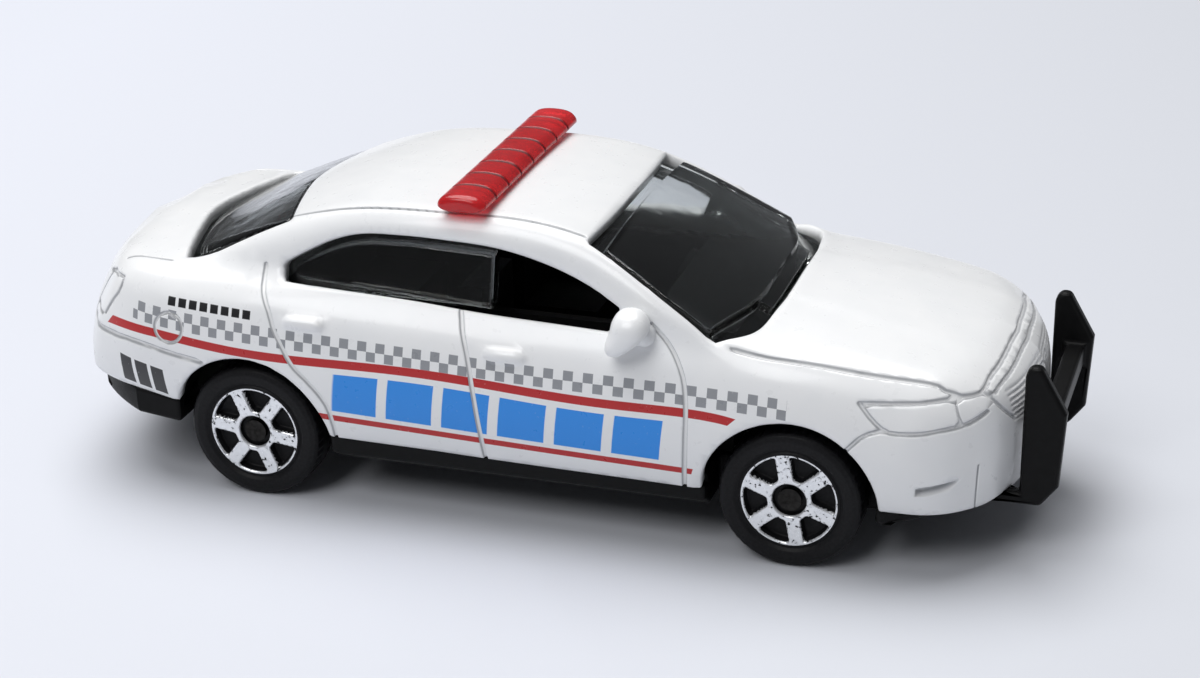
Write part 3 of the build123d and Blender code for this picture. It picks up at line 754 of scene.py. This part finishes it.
def line_side(view, number):
    """Gap function to one channel's middle line: above 0 on one side of it, below 0 on the other."""

    def side(points, normals):
        a, b, _, _, holds = line_views(points, normals)[view]
        line = LINE_GROUPS[view][number][2]
        result = np.full(len(a), NOT_HERE)
        here = np.flatnonzero(holds & in_box(a, b, line))
        gap, step = line_gap(a[here], b[here], line)
        foot = np.stack([a[here], b[here]], 1) - step
        nearest = np.argmin(((foot[:, None] - line[None, :-1] / 2 - line[None, 1:] / 2) ** 2).sum(2), 1)
        run = (line[1:] - line[:-1])[nearest]
        result[here] = gap * np.where(run[:, 0] * step[:, 1] > run[:, 1] * step[:, 0], 1, -1)
        return result

    return side


def fog_gap(points, normals):
    """Distance to the outline of the slots low on the nose, below 0 inside."""
    x, y, z = points.T
    return area_gap(x, z, FOG_SLOT, np.abs(y) > FOG_FROM_Y)


def handle_gap(points, normals):
    """Distance to the middle line of the nearest door handle."""
    x, y, z = points.T
    best = np.full(len(x), NOT_HERE)
    for hx, hz in HANDLES:
        best = np.minimum(best, np.hypot(np.maximum(np.abs(x - hx) - HANDLE_HALF, 0), z - hz))
    return np.where(np.abs(y) > HANDLE_FROM_Y, best, NOT_HERE)


def grille_gap(points, normals):
    """Distance outside the grille field on the nose."""
    x, y, z = points.T
    gap = np.maximum(np.abs(y) - GRILLE["half"], np.maximum(GRILLE["low"] - z, z - GRILLE["high"]))
    return np.where(x > GRILLE["from_x"], gap, NOT_HERE)


def grille_depth(points, normals):
    """Rows of shallow slots across the middle of the nose."""
    inside = ramp(-grille_gap(points, normals), 0, GRILLE["edge"])
    wave = np.cos(2 * math.pi * (points[:, 2] - GRILLE["low"]) / GRILLE["pitch"])
    return inside * GRILLE["deep"] * (1 - wave)


def relief(points, normals):
    """Height of the skin over the plain body: channels, slots and grille below, handles and the bonnet's
    raised middle above, rounded lips at the openings."""
    x, y, z = points.T
    height = -CHANNEL_D * ramp(-seam_edge(points, normals), 0, CHANNEL_WALL)
    height = height + HANDLE_OUT * ramp(HANDLE_R - handle_gap(points, normals), *HANDLE_EDGE)
    height = height - FOG_D * ramp(-fog_gap(points, normals), 0, FOG_WALL) - grille_depth(points, normals)
    raised = ramp(along(x, *zip(*CREASE)) - np.abs(y), -CREASE_SOFT, CREASE_SOFT)
    raised = raised * ramp(x, *CREASE_START) * (1 - ramp(x, *CREASE_END))
    height = height + CREASE_H * raised * (z > CREASE_FROM_Z)
    edge = np.clip(open_gap(points, normals) / LIP, 0, 1)
    return height - LIP * (1 - np.sqrt(1 - (1 - edge) ** 2))


def detail_gap(points, normals):
    """Distance to what needs small triangles: openings, channels, slots and handles."""
    gap = np.minimum(np.abs(open_gap(points, normals)), np.abs(seam_edge(points, normals)))
    gap = np.minimum(gap, np.abs(fog_gap(points, normals)))
    return np.minimum(gap, np.abs(handle_gap(points, normals) - HANDLE_R))


class Skin:
    """Triangles on the surface of a field. Corners are ray places (s, turn), so new ones land on it too."""

    def __init__(self, field, rows, columns):
        """Grid of rays: rows along the car, columns around it, closer together above the sills."""
        cap, middle = rows
        ends = ((-1, 0, cap), (0, 1, middle), (1, 2, cap))
        s = np.unique(np.concatenate([np.linspace(*end) for end in ends]))
        low, high = np.radians(SKIN_ABOVE)
        above, below = columns
        under = np.linspace(-math.pi / 2, low, below)[:-1]
        turn = np.concatenate([under, np.linspace(low, high, above), math.pi - under[::-1]])
        self.field = field
        self.uv = np.zeros((0, 2))
        self.points = self.normals = np.zeros((0, 3))
        self.add(np.stack(np.meshgrid(s, turn, indexing="ij"), -1).reshape(-1, 2))
        i, j = np.meshgrid(np.arange(len(s) - 1), np.arange(len(turn) - 1), indexing="ij")
        first = (i * len(turn) + j).ravel()
        quads = np.stack([first, first + 1, first + len(turn) + 1, first + len(turn)], 1)
        self.tris = np.vstack([quads[:, [0, 1, 2]], quads[:, [0, 2, 3]]])

    def add(self, uv):
        points = on_surface(uv, self.field)
        self.uv = np.vstack([self.uv, uv])
        self.points = np.vstack([self.points, points])
        self.normals = np.vstack([self.normals, facing(points, self.field)])

    def edges(self):
        """Each edge once, as two corner numbers, and the three edge numbers of every triangle."""
        sides = np.sort(self.tris[:, [[0, 1], [1, 2], [2, 0]]].reshape(-1, 2), 1)
        keys, which = np.unique(sides[:, 0] * len(self.uv) + sides[:, 1], return_inverse=True)
        return np.stack([keys // len(self.uv), keys % len(self.uv)], 1), which.reshape(-1, 3)

    def refine(self, gap, fine, grow):
        """Halves each edge longer than fine plus grow times its gap."""
        edges, which = self.edges()
        away = gap(self.points, self.normals)
        length = np.linalg.norm(self.points[edges[:, 0]] - self.points[edges[:, 1]], axis=1)
        marked = length > fine + grow * np.maximum(away[edges].min(1) - length / 2, 0)
        self.split(marked, which, self.uv[edges[marked]].mean(1))

    def score(self, gap, reach):
        """Puts a line of new corners where gap changes sign, on edges whose ends are within reach."""
        edges, which = self.edges()
        a, b = gap(self.points, self.normals)[edges].T
        marked = (a * b < 0) & (np.abs(a - b) < reach)
        share = (a / np.where(marked, a - b, 1))[marked, None]
        first, last = self.uv[edges[marked]].transpose(1, 0, 2)
        self.split(marked, which, first + (last - first) * share)

    def split(self, marked, which, uv):
        """Adds one new corner on each marked edge; a triangle becomes up to four, so no hole opens."""
        middle = np.full(len(marked), -1)
        middle[marked] = len(self.uv) + np.arange(marked.sum())
        self.add(uv)
        m = middle[which]
        count = (m >= 0).sum(1)
        parts = [self.tris[count == 0]]
        for k in range(3):
            a, b, c = np.roll(self.tris, -k, 1).T
            ab, bc, ca = np.roll(m, -k, 1).T
            one = (count == 1) & (ab >= 0)
            two = (count == 2) & (ca < 0)
            parts += [np.stack(row, 1)[one] for row in ((a, ab, c), (ab, b, c))]
            parts += [np.stack(row, 1)[two] for row in ((ab, b, bc), (a, ab, bc), (a, bc, c))]
        a, b, c = self.tris.T
        ab, bc, ca = m.T
        full = count == 3
        parts += [np.stack(row, 1)[full] for row in ((a, ab, ca), (ab, b, bc), (ca, bc, c), (ab, bc, ca))]
        self.tris = np.vstack(parts)

    def cut(self, gap, level=0.0, drop=False):
        """Puts a line of new corners where gap passes level, by secant steps along the edges.
        The part below the level is dropped where asked."""
        value = gap(self.points, self.normals) - level
        keep = value > 0
        edges, which = self.edges()
        crossing = keep[edges[:, 0]] != keep[edges[:, 1]]
        ends = edges[crossing]
        low = np.where(keep[ends[:, 0]], ends[:, 1], ends[:, 0])
        high = np.where(keep[ends[:, 0]], ends[:, 0], ends[:, 1])
        a, b = self.uv[low], self.uv[high]
        below, above = value[low], value[high]
        for _ in range(SECANTS):
            new = a + (b - a) * (below / (below - above))[:, None]
            points = on_surface(new, self.field)
            found = gap(points, facing(points, self.field)) - level
            out = found <= 0
            a, below = np.where(out[:, None], new, a), np.where(out, np.minimum(found, -TINY), below)
            b, above = np.where(out[:, None], b, new), np.where(out, above, np.maximum(found, TINY))
        self.split(crossing, which, new)
        if drop:
            keep = np.concatenate([keep, np.ones(len(new), bool)])
            self.tris = self.tris[keep[self.tris].all(1)]

    def drop_far(self, gap, limit):
        """Leaves out triangles whose corners are all below the limit."""
        self.tris = self.tris[(gap(self.points, self.normals)[self.tris] > limit).any(1)]

    def closed(self, height, depth):
        """Outer sheet raised by height and inner sheet sunk by depth, joined by a band along each free edge.
        Gives points, faces and the number of the corner under each outer point."""
        outer = self.points + self.normals * height(self.points, self.normals)[:, None]
        inner = self.points - self.normals * depth
        used = np.unique(self.tris)
        keys = np.round(self.points[used] / WELD).astype(np.int64)
        _, first, number = np.unique(keys, axis=0, return_index=True, return_inverse=True)
        outer, inner = outer[used][first], inner[used][first]
        tris = number.ravel()[np.searchsorted(used, self.tris)]
        tris = tris[(tris != np.roll(tris, 1, 1)).all(1)]
        sides = tris[:, [[0, 1], [1, 2], [2, 0]]].reshape(-1, 2)
        n = len(outer)
        _, which, count = np.unique(np.sort(sides, 1) @ [n, 1], return_inverse=True, return_counts=True)
        a, b = sides[count[which] == 1].T
        band = np.vstack([np.stack([b, a, a + n], 1), np.stack([b, a + n, b + n], 1)])
        return np.vstack([outer, inner]), np.vstack([tris, tris[:, ::-1] + n, band]), used[first]


# how a skin is meshed: rays along and around, longest edge at a detail and its growth away from it,
# rounds of halving, and how far below the cut triangles stay before and between the rounds
SKIN = dict(rows=(10, 36), columns=(60, 6), fine=0.9, grow=1.4, rounds=3, spare=(1.2, 0.6))
GLASS = dict(rows=(10, 40), columns=(76, 4), fine=0.35, grow=0.6, rounds=4, spare=(1.5, 0.6))
GRILLE_MESH = dict(fine=0.17, grow=2.0)
GRILLE_ROUNDS = 2
SCORE_REACH = 1.5
LIP_LEVELS = (0.11,)
SEAM_LEVELS = (0.1, 0.01, -0.09)
FOG_LEVELS = (0.0, -0.15)
HANDLE_LEVELS = (0.68, 0.45, 0.2)
# clear moulding: lower edge and its drop at the windscreen, thickness, place under the casting, sunk panes
GLASS_LOW = 16.6
GLASS_DROP = 2.4
GLASS_DROP_X = (8.0, 12.0)
GLASS_T = 0.8
UNDER_WALL = 0.96
PANE_SUNK = 0.16
TAB_SUNK = 0.5
PANE_STEP = 0.3
PANE_LEVELS = (PANE_STEP + 0.08, PANE_STEP, PANE_STEP / 2, 0.0, -0.08)
# raised panes: rear sides in x and z, screens in x and y, with a lower tab at the windscreen's foot
SIDE_PANE = closed_outline(
    [(-17.65, 17.95)],
    [(-16.2, 18.75), (-13.9, 19.8), (-12.2, 20.2), (-9.6, 20.42), (-5.7, 20.45), (-2.0, 20.3), (0.0, 20.0)],
    [(0.0, 16.72)],
    [(-2.7, 16.78), (-8.2, 17.06), (-13.8, 17.27), (-17.45, 17.4)],
)
REAR_PANE = screen_outline(
    [(-20.7, 0.0), (-19.9, 5.0), (-18.95, 8.75)],
    [(-22.8, 9.2)],
    [(-28.5, 0.0), (-27.6, 5.0), (-26.2, 9.5)],
)
FRONT_PANE = screen_outline(
    [(6.0, 0.0), (6.0, 5.0), (6.0, 10.0)],
    [(10.0, 11.05)],
    [(16.3, 0.0), (16.3, 3.0), (16.1, 5.6), (14.0, 11.9)],
)
FRONT_TAB = screen_outline([(15.5, 0.0), (15.5, 5.7)], [], [(17.4, 0.0), (17.35, 3.0), (17.15, 6.0)])
POST_R = 1.6
PIN_R = 0.8
PIN_BEVEL = 0.1
POST_COLUMNS = 48
# place along x, top and tip of each rivet post
POSTS = [(28.0, 15.6, 4.6), (-32.0, 17.1, 6.0)]
POST_FOOT = 7.4
# mirror heads: middle, half sizes, and how far they narrow, lean and tilt toward the foot
MIRROR = dict(middle=(8.75, 13.55, 16.85), half=(1.4, 1.35, 1.6))
NECK = dict(middle=(9.3, 12.4, 16.35), half=(0.95, 0.9, 0.8))
MIRROR_NARROW = (0.3, 0.25)
MIRROR_LEAN = (-0.75, 0.22)
MIRROR_TILT = 0.2
MIRROR_LOW = (-0.3, 1.0)
MIRROR_BULGE = (0.8, 0.85)
MIRROR_GRID = (40, 64)
LIGHT_X = -4.7
LIGHT_LEN = 3.7
LIGHT_HALF = 10.8
LIGHT_LOW = 23.4
LIGHT_H = 1.2
LIGHT_BEVEL = 0.75
LIGHT_PARTS = 8
LIGHT_CUT_W = 0.11
LIGHT_CUT_D = 0.16
LIGHT_PINCH = 0.05
LIGHT_TIP = 0.3
FOOT_HALF_X = 1.45
FOOT_HALF = 6.0
FOOT_Z = (-1.0, 0.1)
# end rounding along y, what is left of the outline at the end, and points around and along
LENS_RUN = dict(taper=0.7, left=0.62, around=56, rows=361)
FOOT_RUN = dict(taper=0.3, left=0.9, around=32, rows=41)
WHEEL_W = 3.4
WHEEL_COLUMNS = 240
HUB_HOLE_R = 1.25
HUB_RING = 1.6
POCKET_OUT = 3.34
POCKET_D = 0.75
POCKET_SOFT = 0.2
POCKET_WALL = (-0.02, 0.14)
SPOKE_HALF = 0.5
SPOKES = 6
FOIL_R = 3.5
FOIL_RIM = (-0.02, 0.05)
FOIL_HUB = (-0.06, 0.0)
FOIL_POCKET = (0.04, 0.3)
FACE_D = 0.35
LUGS = 48
LUG_D = 0.1
LUG_STEEP = 4
LUG_FROM = (0.5, 0.7)
TREAD_R = (-0.22, -0.02)
TREAD_FACE = (0.25, 0.5)
TREAD_BACK = (0.25, 0.55)
SPOKE_TURN = dict(front=0.35, rear=0.12)
# radius, depth behind the tyre's face, and steps to the next point
WHEEL_PROFILE = [
    (0.56, -0.7, 4), (1.2, -0.7, 5), (1.25, -0.2, 2), (1.32, -0.13, 6), (1.7, -0.12, 26),
    (3.45, -0.12, 3), (3.64, -0.14, 3), (3.72, -0.22, 3), (3.84, -0.14, 3), (4.0, -0.03, 6),
    (4.6, 0.0, 5), (4.95, -0.12, 5), (5.14, -0.35, 4), (5.2, -0.55, 14), (5.2, -2.9, 4),
    (5.1, -3.2, 3), (4.8, -3.4, 8), (0.56, -3.4, 4), (0.56, -0.7, 0),
]
SIDE_NAMES = {1: "left", -1: "right"}


def piece(name, points, faces, look, body, node=None, slot=None, **marks):
    """Mesh object from arrays in millimetres: doubles merged, smooth, riding on a body, with a named value
    at each point where marks are given."""
    mesh = bpy.data.meshes.new(name)
    mesh.from_pydata((np.asarray(points) * MM).tolist(), [], np.asarray(faces).tolist())
    for key, values in marks.items():
        mark = mesh.attributes.new(key, "FLOAT", "POINT")
        mark.data.foreach_set("value", np.ravel(values).astype(np.float32))
    work = bmesh.new()
    work.from_mesh(mesh)
    bmesh.ops.remove_doubles(work, verts=work.verts, dist=MERGE * MM)
    bmesh.ops.dissolve_degenerate(work, edges=work.edges, dist=MERGE * MM)
    work.to_mesh(mesh)
    work.free()
    mesh.polygons.foreach_set("use_smooth", np.ones(len(mesh.polygons), bool))
    mesh.materials.append(look)
    made = bpy.data.objects.new(name, mesh)
    bpy.context.scene.collection.objects.link(made)
    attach(made, body)
    if node:
        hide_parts(node)
    return made


def ring_faces(rows, columns, close_rows=False):
    """Quads of a grid that closes around its columns, and around its rows too where asked."""
    i, j = np.meshgrid(np.arange(rows if close_rows else rows - 1), np.arange(columns), indexing="ij")
    nexti = (i + 1) % rows
    nextj = (j + 1) % columns
    quads = [i * columns + j, i * columns + nextj, nexti * columns + nextj, nexti * columns + j]
    return np.stack(quads, -1).reshape(-1, 4)


def grown_skin(field, gap, detail, size):
    """Skin of a field with small triangles at its details, without what lies well below the gap's line."""
    skin = Skin(field, size["rows"], size["columns"])
    before, between_rounds = size["spare"]
    skin.drop_far(gap, -before)
    for _ in range(size["rounds"]):
        skin.refine(detail, size["fine"], size["grow"])
        skin.drop_far(gap, -between_rounds)
    return skin


def body_skin():
    """White casting: the body field's surface, cut at its openings, with relief and a wall."""
    skin = grown_skin(body_field, open_gap, detail_gap, SKIN)
    for _ in range(GRILLE_ROUNDS):
        skin.refine(grille_gap, **GRILLE_MESH)
    for view, lines in enumerate(LINE_GROUPS):
        for number in range(len(lines)):
            skin.score(line_side(view, number), SCORE_REACH)
    skin.score(ring_way, SCORE_REACH)
    skin.cut(open_gap, drop=True)
    cuts = {open_gap: LIP_LEVELS, seam_edge: SEAM_LEVELS, fog_gap: FOG_LEVELS, handle_gap: HANDLE_LEVELS}
    for gap, levels in cuts.items():
        for level in levels:
            skin.cut(gap, level)
    points, tris, under = skin.closed(relief, WALL)
    corners = skin.points[under], skin.normals[under]
    # sunk marks how far down a channel each point lies, with a share in the fog slots: the print stays out
    # of it and painted shade follows it
    sunk = ramp(-seam_edge(*corners), 0, CHANNEL_WALL)
    sunk = np.maximum(sunk, FOG_SHADE * ramp(-fog_gap(*corners), 0, FOG_WALL))
    sunk = np.concatenate([sunk, 0 * sunk])
    return piece("body_skin", points, tris, LOOKS["paint"], "chassis", "body_shell", "paint", sunk=sunk)


def rivet_posts():
    """Posts inside the casting: a stepped round profile turned about an upright line, once for each end."""
    turn = np.linspace(0, 2 * math.pi, POST_COLUMNS, endpoint=False)
    points, faces = [], []
    for x, top, tip in POSTS:
        profile = [(0.0, tip), (PIN_R - PIN_BEVEL, tip), (PIN_R, tip + PIN_BEVEL), (PIN_R, POST_FOOT)]
        profile += [(POST_R, POST_FOOT), (POST_R, top), (0.0, top)]
        r, z = np.array(profile).T[:, :, None]
        ring = np.stack([x + r * np.cos(turn), r * np.sin(turn), z + 0 * turn], -1).reshape(-1, 3)
        faces.append(ring_faces(len(profile), len(turn)) + sum(map(len, points)))
        points.append(ring)
    points, faces = np.vstack(points), np.vstack(faces)
    return piece("rivet_posts", points, faces, LOOKS["paint"], "chassis", "body_shell", "paint")


def front_way(points):
    """Distance to the open front side windows, below 0 inside them."""
    return np.maximum(side_gap(points, SIDE_OUTLINE), GLAZED_TO_X - points[:, 0])


def glass_gap(points, normals):
    """Above 0 where the clear moulding is: over its lower edge and clear of the front side windows."""
    low = GLASS_LOW - GLASS_DROP * ramp(points[:, 0], *GLASS_DROP_X)
    return np.minimum(points[:, 2] - low, front_way(points))


def pane_gap(points, normals):
    """Distance to the edge of the nearest raised pane, below 0 on the pane."""
    return window_gap(points, SIDE_PANE, REAR_PANE, FRONT_PANE)


def tab_gap(points, normals):
    """Distance to the edge of the windscreen's lower tab, below 0 on it."""
    return screen_gap(points, FRONT_TAB)


def glass_height(points, normals):
    """The moulding lies under the casting's wall and rises by a steep step to each pane, and by about half
    of that to the tab."""
    pane = (UNDER_WALL - PANE_SUNK) * ramp(-pane_gap(points, normals), -PANE_STEP, 0)
    tab = (UNDER_WALL - TAB_SUNK) * ramp(-tab_gap(points, normals), -PANE_STEP, 0)
    return np.maximum(pane, tab) - UNDER_WALL


def glass_detail(points, normals):
    """Distance to what needs small triangles on the moulding: the steps and the front side windows."""
    steps = np.minimum(np.abs(pane_gap(points, normals)), np.abs(tab_gap(points, normals)))
    return np.minimum(steps, np.abs(front_way(points)))


def glazing():
    """Clear moulding: the cabin field's surface under the roof, with raised panes and an even inner side."""
    skin = grown_skin(cabin_field, glass_gap, glass_detail, GLASS)
    skin.cut(glass_gap, drop=True)
    for gap in (pane_gap, tab_gap):
        for level in PANE_LEVELS:
            skin.cut(gap, level)
    points, tris, _ = skin.closed(glass_height, UNDER_WALL + GLASS_T)
    return piece("glazing", points, tris, LOOKS["clear"], "chassis", "windows", "clear")


def mirror(side):
    """Door mirror: a superellipsoid that narrows and leans back and outward toward its foot, with a neck of
    the same kind that runs forward into the door."""
    rows, columns = MIRROR_GRID
    turn = np.linspace(0, 2 * math.pi, columns, endpoint=False)
    rise = np.linspace(-math.pi / 2, math.pi / 2, rows)[:, None]
    level, upright = MIRROR_BULGE

    def lobe(value, power):
        return np.sign(value) * np.abs(value) ** power

    x = lobe(np.cos(rise), level) * lobe(np.cos(turn), upright)
    y = lobe(np.cos(rise), level) * lobe(np.sin(turn), upright)
    z = lobe(np.sin(rise), upright) + 0 * turn
    low = ramp(-z, *MIRROR_LOW)
    ahead, across = (v * (1 - n * low) + s * low for v, n, s in zip((x, y), MIRROR_NARROW, MIRROR_LEAN))
    head = np.stack([ahead, across, z - MIRROR_TILT * y], -1) * MIRROR["half"] + MIRROR["middle"]
    neck = np.stack([x, y, z], -1) * NECK["half"] + NECK["middle"]
    points = np.vstack([head.reshape(-1, 3), neck.reshape(-1, 3)]) * (1, side, 1)
    faces = ring_faces(rows, columns)[:, ::side]
    both = np.vstack([faces, faces + rows * columns])
    return piece("mirror_" + SIDE_NAMES[side], points, both, LOOKS["paint"], "chassis", None, "paint")


def rounded_run(points, count):
    """Closed outline with rounded corners, at even steps."""
    p = corner_cut(points, QUARTER, ROUNDINGS)
    p = np.vstack([p, p[:1]])
    way = way_along(p)
    at = np.linspace(0, way[-1], count, endpoint=False)
    return np.stack([np.interp(at, way, p[:, k]) for k in range(2)], 1)


def bar_run(corners, half, cuts, size):
    """Rounded outline in x and z carried along y: it rounds off at both ends and is pinched at each cut.
    Gives points, faces and the depth of the pinch at each point."""
    outline = rounded_run(corners, size["around"])
    y = np.linspace(-half, half, size["rows"])
    end = np.clip((half - np.abs(y)) / size["taper"], 0, 1)
    full = size["left"] + (1 - size["left"]) * np.sqrt(1 - (1 - end) ** 2)
    pinch = 0 * y
    for place in cuts:
        pinch = np.maximum(pinch, np.exp(-(((y - place) / LIGHT_CUT_W) ** 2)))
    high = np.clip(outline[:, 1] / LIGHT_H, 0, 1)
    x = outline[None, :, 0] * full[:, None] * (1 - LIGHT_PINCH * pinch[:, None] * high[None, :])
    z = outline[None, :, 1] * full[:, None] - LIGHT_CUT_D * pinch[:, None] * high[None, :]
    points = np.stack([x + LIGHT_X, np.broadcast_to(y[:, None], x.shape), z + LIGHT_LOW], -1)
    joint = np.pad(pinch, 1).repeat(len(outline))
    tips = np.array([[[LIGHT_X, s * half, LIGHT_LOW + LIGHT_TIP]] for s in (-1, 1)])
    tips = tips.repeat(len(outline), 1)
    points = np.vstack([tips[:1], points, tips[1:]])
    return points.reshape(-1, 3), ring_faces(len(points), len(outline)), joint


def light_bar():
    """Red bar: bevelled lens in eight segments, with its foot below."""
    wide, high, flat = LIGHT_LEN / 2, LIGHT_H, LIGHT_LEN / 2 - LIGHT_BEVEL
    lens = [(-wide, 0), (wide, 0), (wide, 0.5 * high), (flat, high), (-flat, high), (-wide, 0.5 * high)]
    step = 2 * LIGHT_HALF / LIGHT_PARTS
    cuts = [-LIGHT_HALF + i * step for i in range(1, LIGHT_PARTS)]
    points, faces, joint = bar_run(lens, LIGHT_HALF, cuts, LENS_RUN)
    low, top = FOOT_Z
    foot = [(-FOOT_HALF_X, low), (FOOT_HALF_X, low), (FOOT_HALF_X, top), (-FOOT_HALF_X, top)]
    more, sides, plain = bar_run(foot, FOOT_HALF, [], FOOT_RUN)
    return piece(
        "light_bar_lens", np.vstack([points, more]), np.vstack([faces, sides + len(points)])[:, ::-1],
        LOOKS["red_lens"], "chassis", "light_bar", "red_lens", joint=np.concatenate([joint, plain]),
    )


def spoke_gap(r, turn):
    """Below 0 inside a pocket between spokes: off their middles, outside the hub ring and inside the rim."""
    share = 2 * math.pi / SPOKES
    off = np.abs((turn + share / 2) % share - share / 2)
    beside = SPOKE_HALF - r * np.sin(off)
    return soft_high(soft_high(r - POCKET_OUT, HUB_RING - r, POCKET_SOFT), beside, POCKET_SOFT)


def wheel(place, side):
    """One-piece wheel as a closed grid: a profile from hub to tread and back, with pockets sunk between the
    spokes and small lugs around the tread's edges. A foil attribute marks the raised face inside the rim."""
    node = "wheel_%s_%s" % (place, SIDE_NAMES[side])
    low, high = np.array(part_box(node)) / MM
    middle = (low + high) / 2
    face = high[1] if side > 0 else low[1]
    *profile, steps = np.array(WHEEL_PROFILE).T
    run = way_along(np.stack(profile, 1))
    runs = zip(run, run[1:], steps.astype(int))
    at = np.concatenate([np.linspace(start, end, count, endpoint=False) for start, end, count in runs])
    r, depth = (np.interp(at, run, values)[:, None] for values in profile)
    turn = np.linspace(0, 2 * math.pi, WHEEL_COLUMNS, endpoint=False)[None, :]
    front = depth > -FACE_D
    pocket = ramp(-spoke_gap(r, turn + SPOKE_TURN[place]), *POCKET_WALL) * front
    lug = 0.5 + 0.5 * np.clip(np.sin(turn * LUGS) * LUG_STEEP, -1, 1)
    tread = ramp(r - WHEEL_R, *TREAD_R) * ramp(-depth, *TREAD_FACE) * ramp(WHEEL_W + depth, *TREAD_BACK)
    out = r - LUG_D * tread * lug * ramp(np.abs(depth + WHEEL_W / 2), *LUG_FROM)
    across = face + side * (depth - POCKET_D * pocket) + 0 * turn
    points = np.stack([middle[0] + out * np.cos(turn), across, middle[2] + out * np.sin(turn)], -1)
    foil = front * ramp(FOIL_R - r, *FOIL_RIM) * ramp(r - HUB_HOLE_R, *FOIL_HUB)
    foil = np.broadcast_to(foil * (1 - ramp(pocket, *FOIL_POCKET)), out.shape)
    faces = ring_faces(len(at), WHEEL_COLUMNS, True)[:, ::side]
    body = "wheel_%s%s" % (place[0], SIDE_NAMES[side][0])
    name = node.replace("wheel", "rim_and_tyre")
    return piece(name, points.reshape(-1, 3), faces, LOOKS["wheel"], body, node, "wheel", foil=foil)


SHEET_HALF = 1.5
# lit and shaded colours of the sheet, and how the painted falloff of light between them runs along x and y
# over this run in millimetres
SHEET_LIT = (0.69, 0.71, 0.775)
SHEET_SHADED = (0.54, 0.555, 0.585)
SHEET_FALLOFF = (0.35, 0.03)
SHEET_RUN = (-30.0, 50.0)


def table_top():
    """Pale paper sheet with a painted falloff of light: lit white toward the lamps, shaded blue-grey away
    from them.
    """
    finish = Finish("pale_sheet", Roughness=0.6)
    along_x, along_y = SHEET_FALLOFF
    # painted falloff of light: lit toward -x where the lamps stand, shaded toward +x
    falloff = (finish.x * along_x + finish.y * along_y).step(*SHEET_RUN)
    finish.set(Base_Color=falloff.mix(SHEET_LIT, SHEET_SHADED))
    mesh = bpy.data.meshes.new("sheet")
    corners = [(x * SHEET_HALF, y * SHEET_HALF, 0) for x, y in ((-1, -1), (1, -1), (1, 1), (-1, 1))]
    mesh.from_pydata(corners, [], [(0, 1, 2, 3)])
    floor = bpy.data.objects.new("sheet", mesh)
    bpy.context.scene.collection.objects.link(floor)
    mesh.materials.append(finish.material)


LAMP_AIM = (0.0, 0.0, 0.01)
# place, width and power of each soft box
LAMPS = dict(over=((-0.17, 0.16, 0.8), 0.75, 8.0), front=((-0.2, -0.6, 0.7), 0.45, 3.2))
SKY = (0.93, 0.95, 1.0, 1.0)
SKY_STRENGTH = 0.13


def lamp(name, place, size, watts):
    """Square soft box at a place, facing the toy."""
    data = bpy.data.lights.new(name, "AREA")
    data.size = size
    data.energy = watts
    light = bpy.data.objects.new(name, data)
    light.location = place
    light.rotation_euler = (Vector(LAMP_AIM) - Vector(place)).to_track_quat("-Z", "Y").to_euler()
    bpy.context.scene.collection.objects.link(light)


EYE = Vector((55.433, -162.972, 83.501)) * MM
AIM = Vector((2.110, 0.0, 10.031)) * MM
ROLL = math.radians(-0.903)
LENS = 73.7
SENSOR = 36.0
NEAREST = 0.01


def camera():
    """The photograph's view: place, aim, roll and lens."""
    data = bpy.data.cameras.new("view")
    data.lens = LENS
    data.sensor_width = SENSOR
    data.clip_start = NEAREST
    view = bpy.data.objects.new("view", data)
    turn = (AIM - EYE).to_track_quat("-Z", "Y").to_matrix().to_4x4()
    view.matrix_world = Matrix.Translation(EYE) @ turn @ Matrix.Rotation(ROLL, 4, "Z")
    bpy.context.scene.collection.objects.link(view)
    bpy.context.scene.camera = view


def studio():
    """Even pale world with a big soft box over and behind the toy and a weak one in front."""
    world = bpy.data.worlds.new("tent")
    world.use_nodes = True
    sky = world.node_tree.nodes["Background"]
    sky.inputs["Color"].default_value = SKY
    sky.inputs["Strength"].default_value = SKY_STRENGTH
    bpy.context.scene.world = world
    for name, setting in LAMPS.items():
        lamp(name, *setting)
    bpy.context.scene.view_settings.view_transform = "Standard"


body_skin()
rivet_posts()
glazing()
light_bar()
for side in (-1, 1):
    mirror(side)
    for place in ("front", "rear"):
        wheel(place, side)
table_top()
studio()
camera()
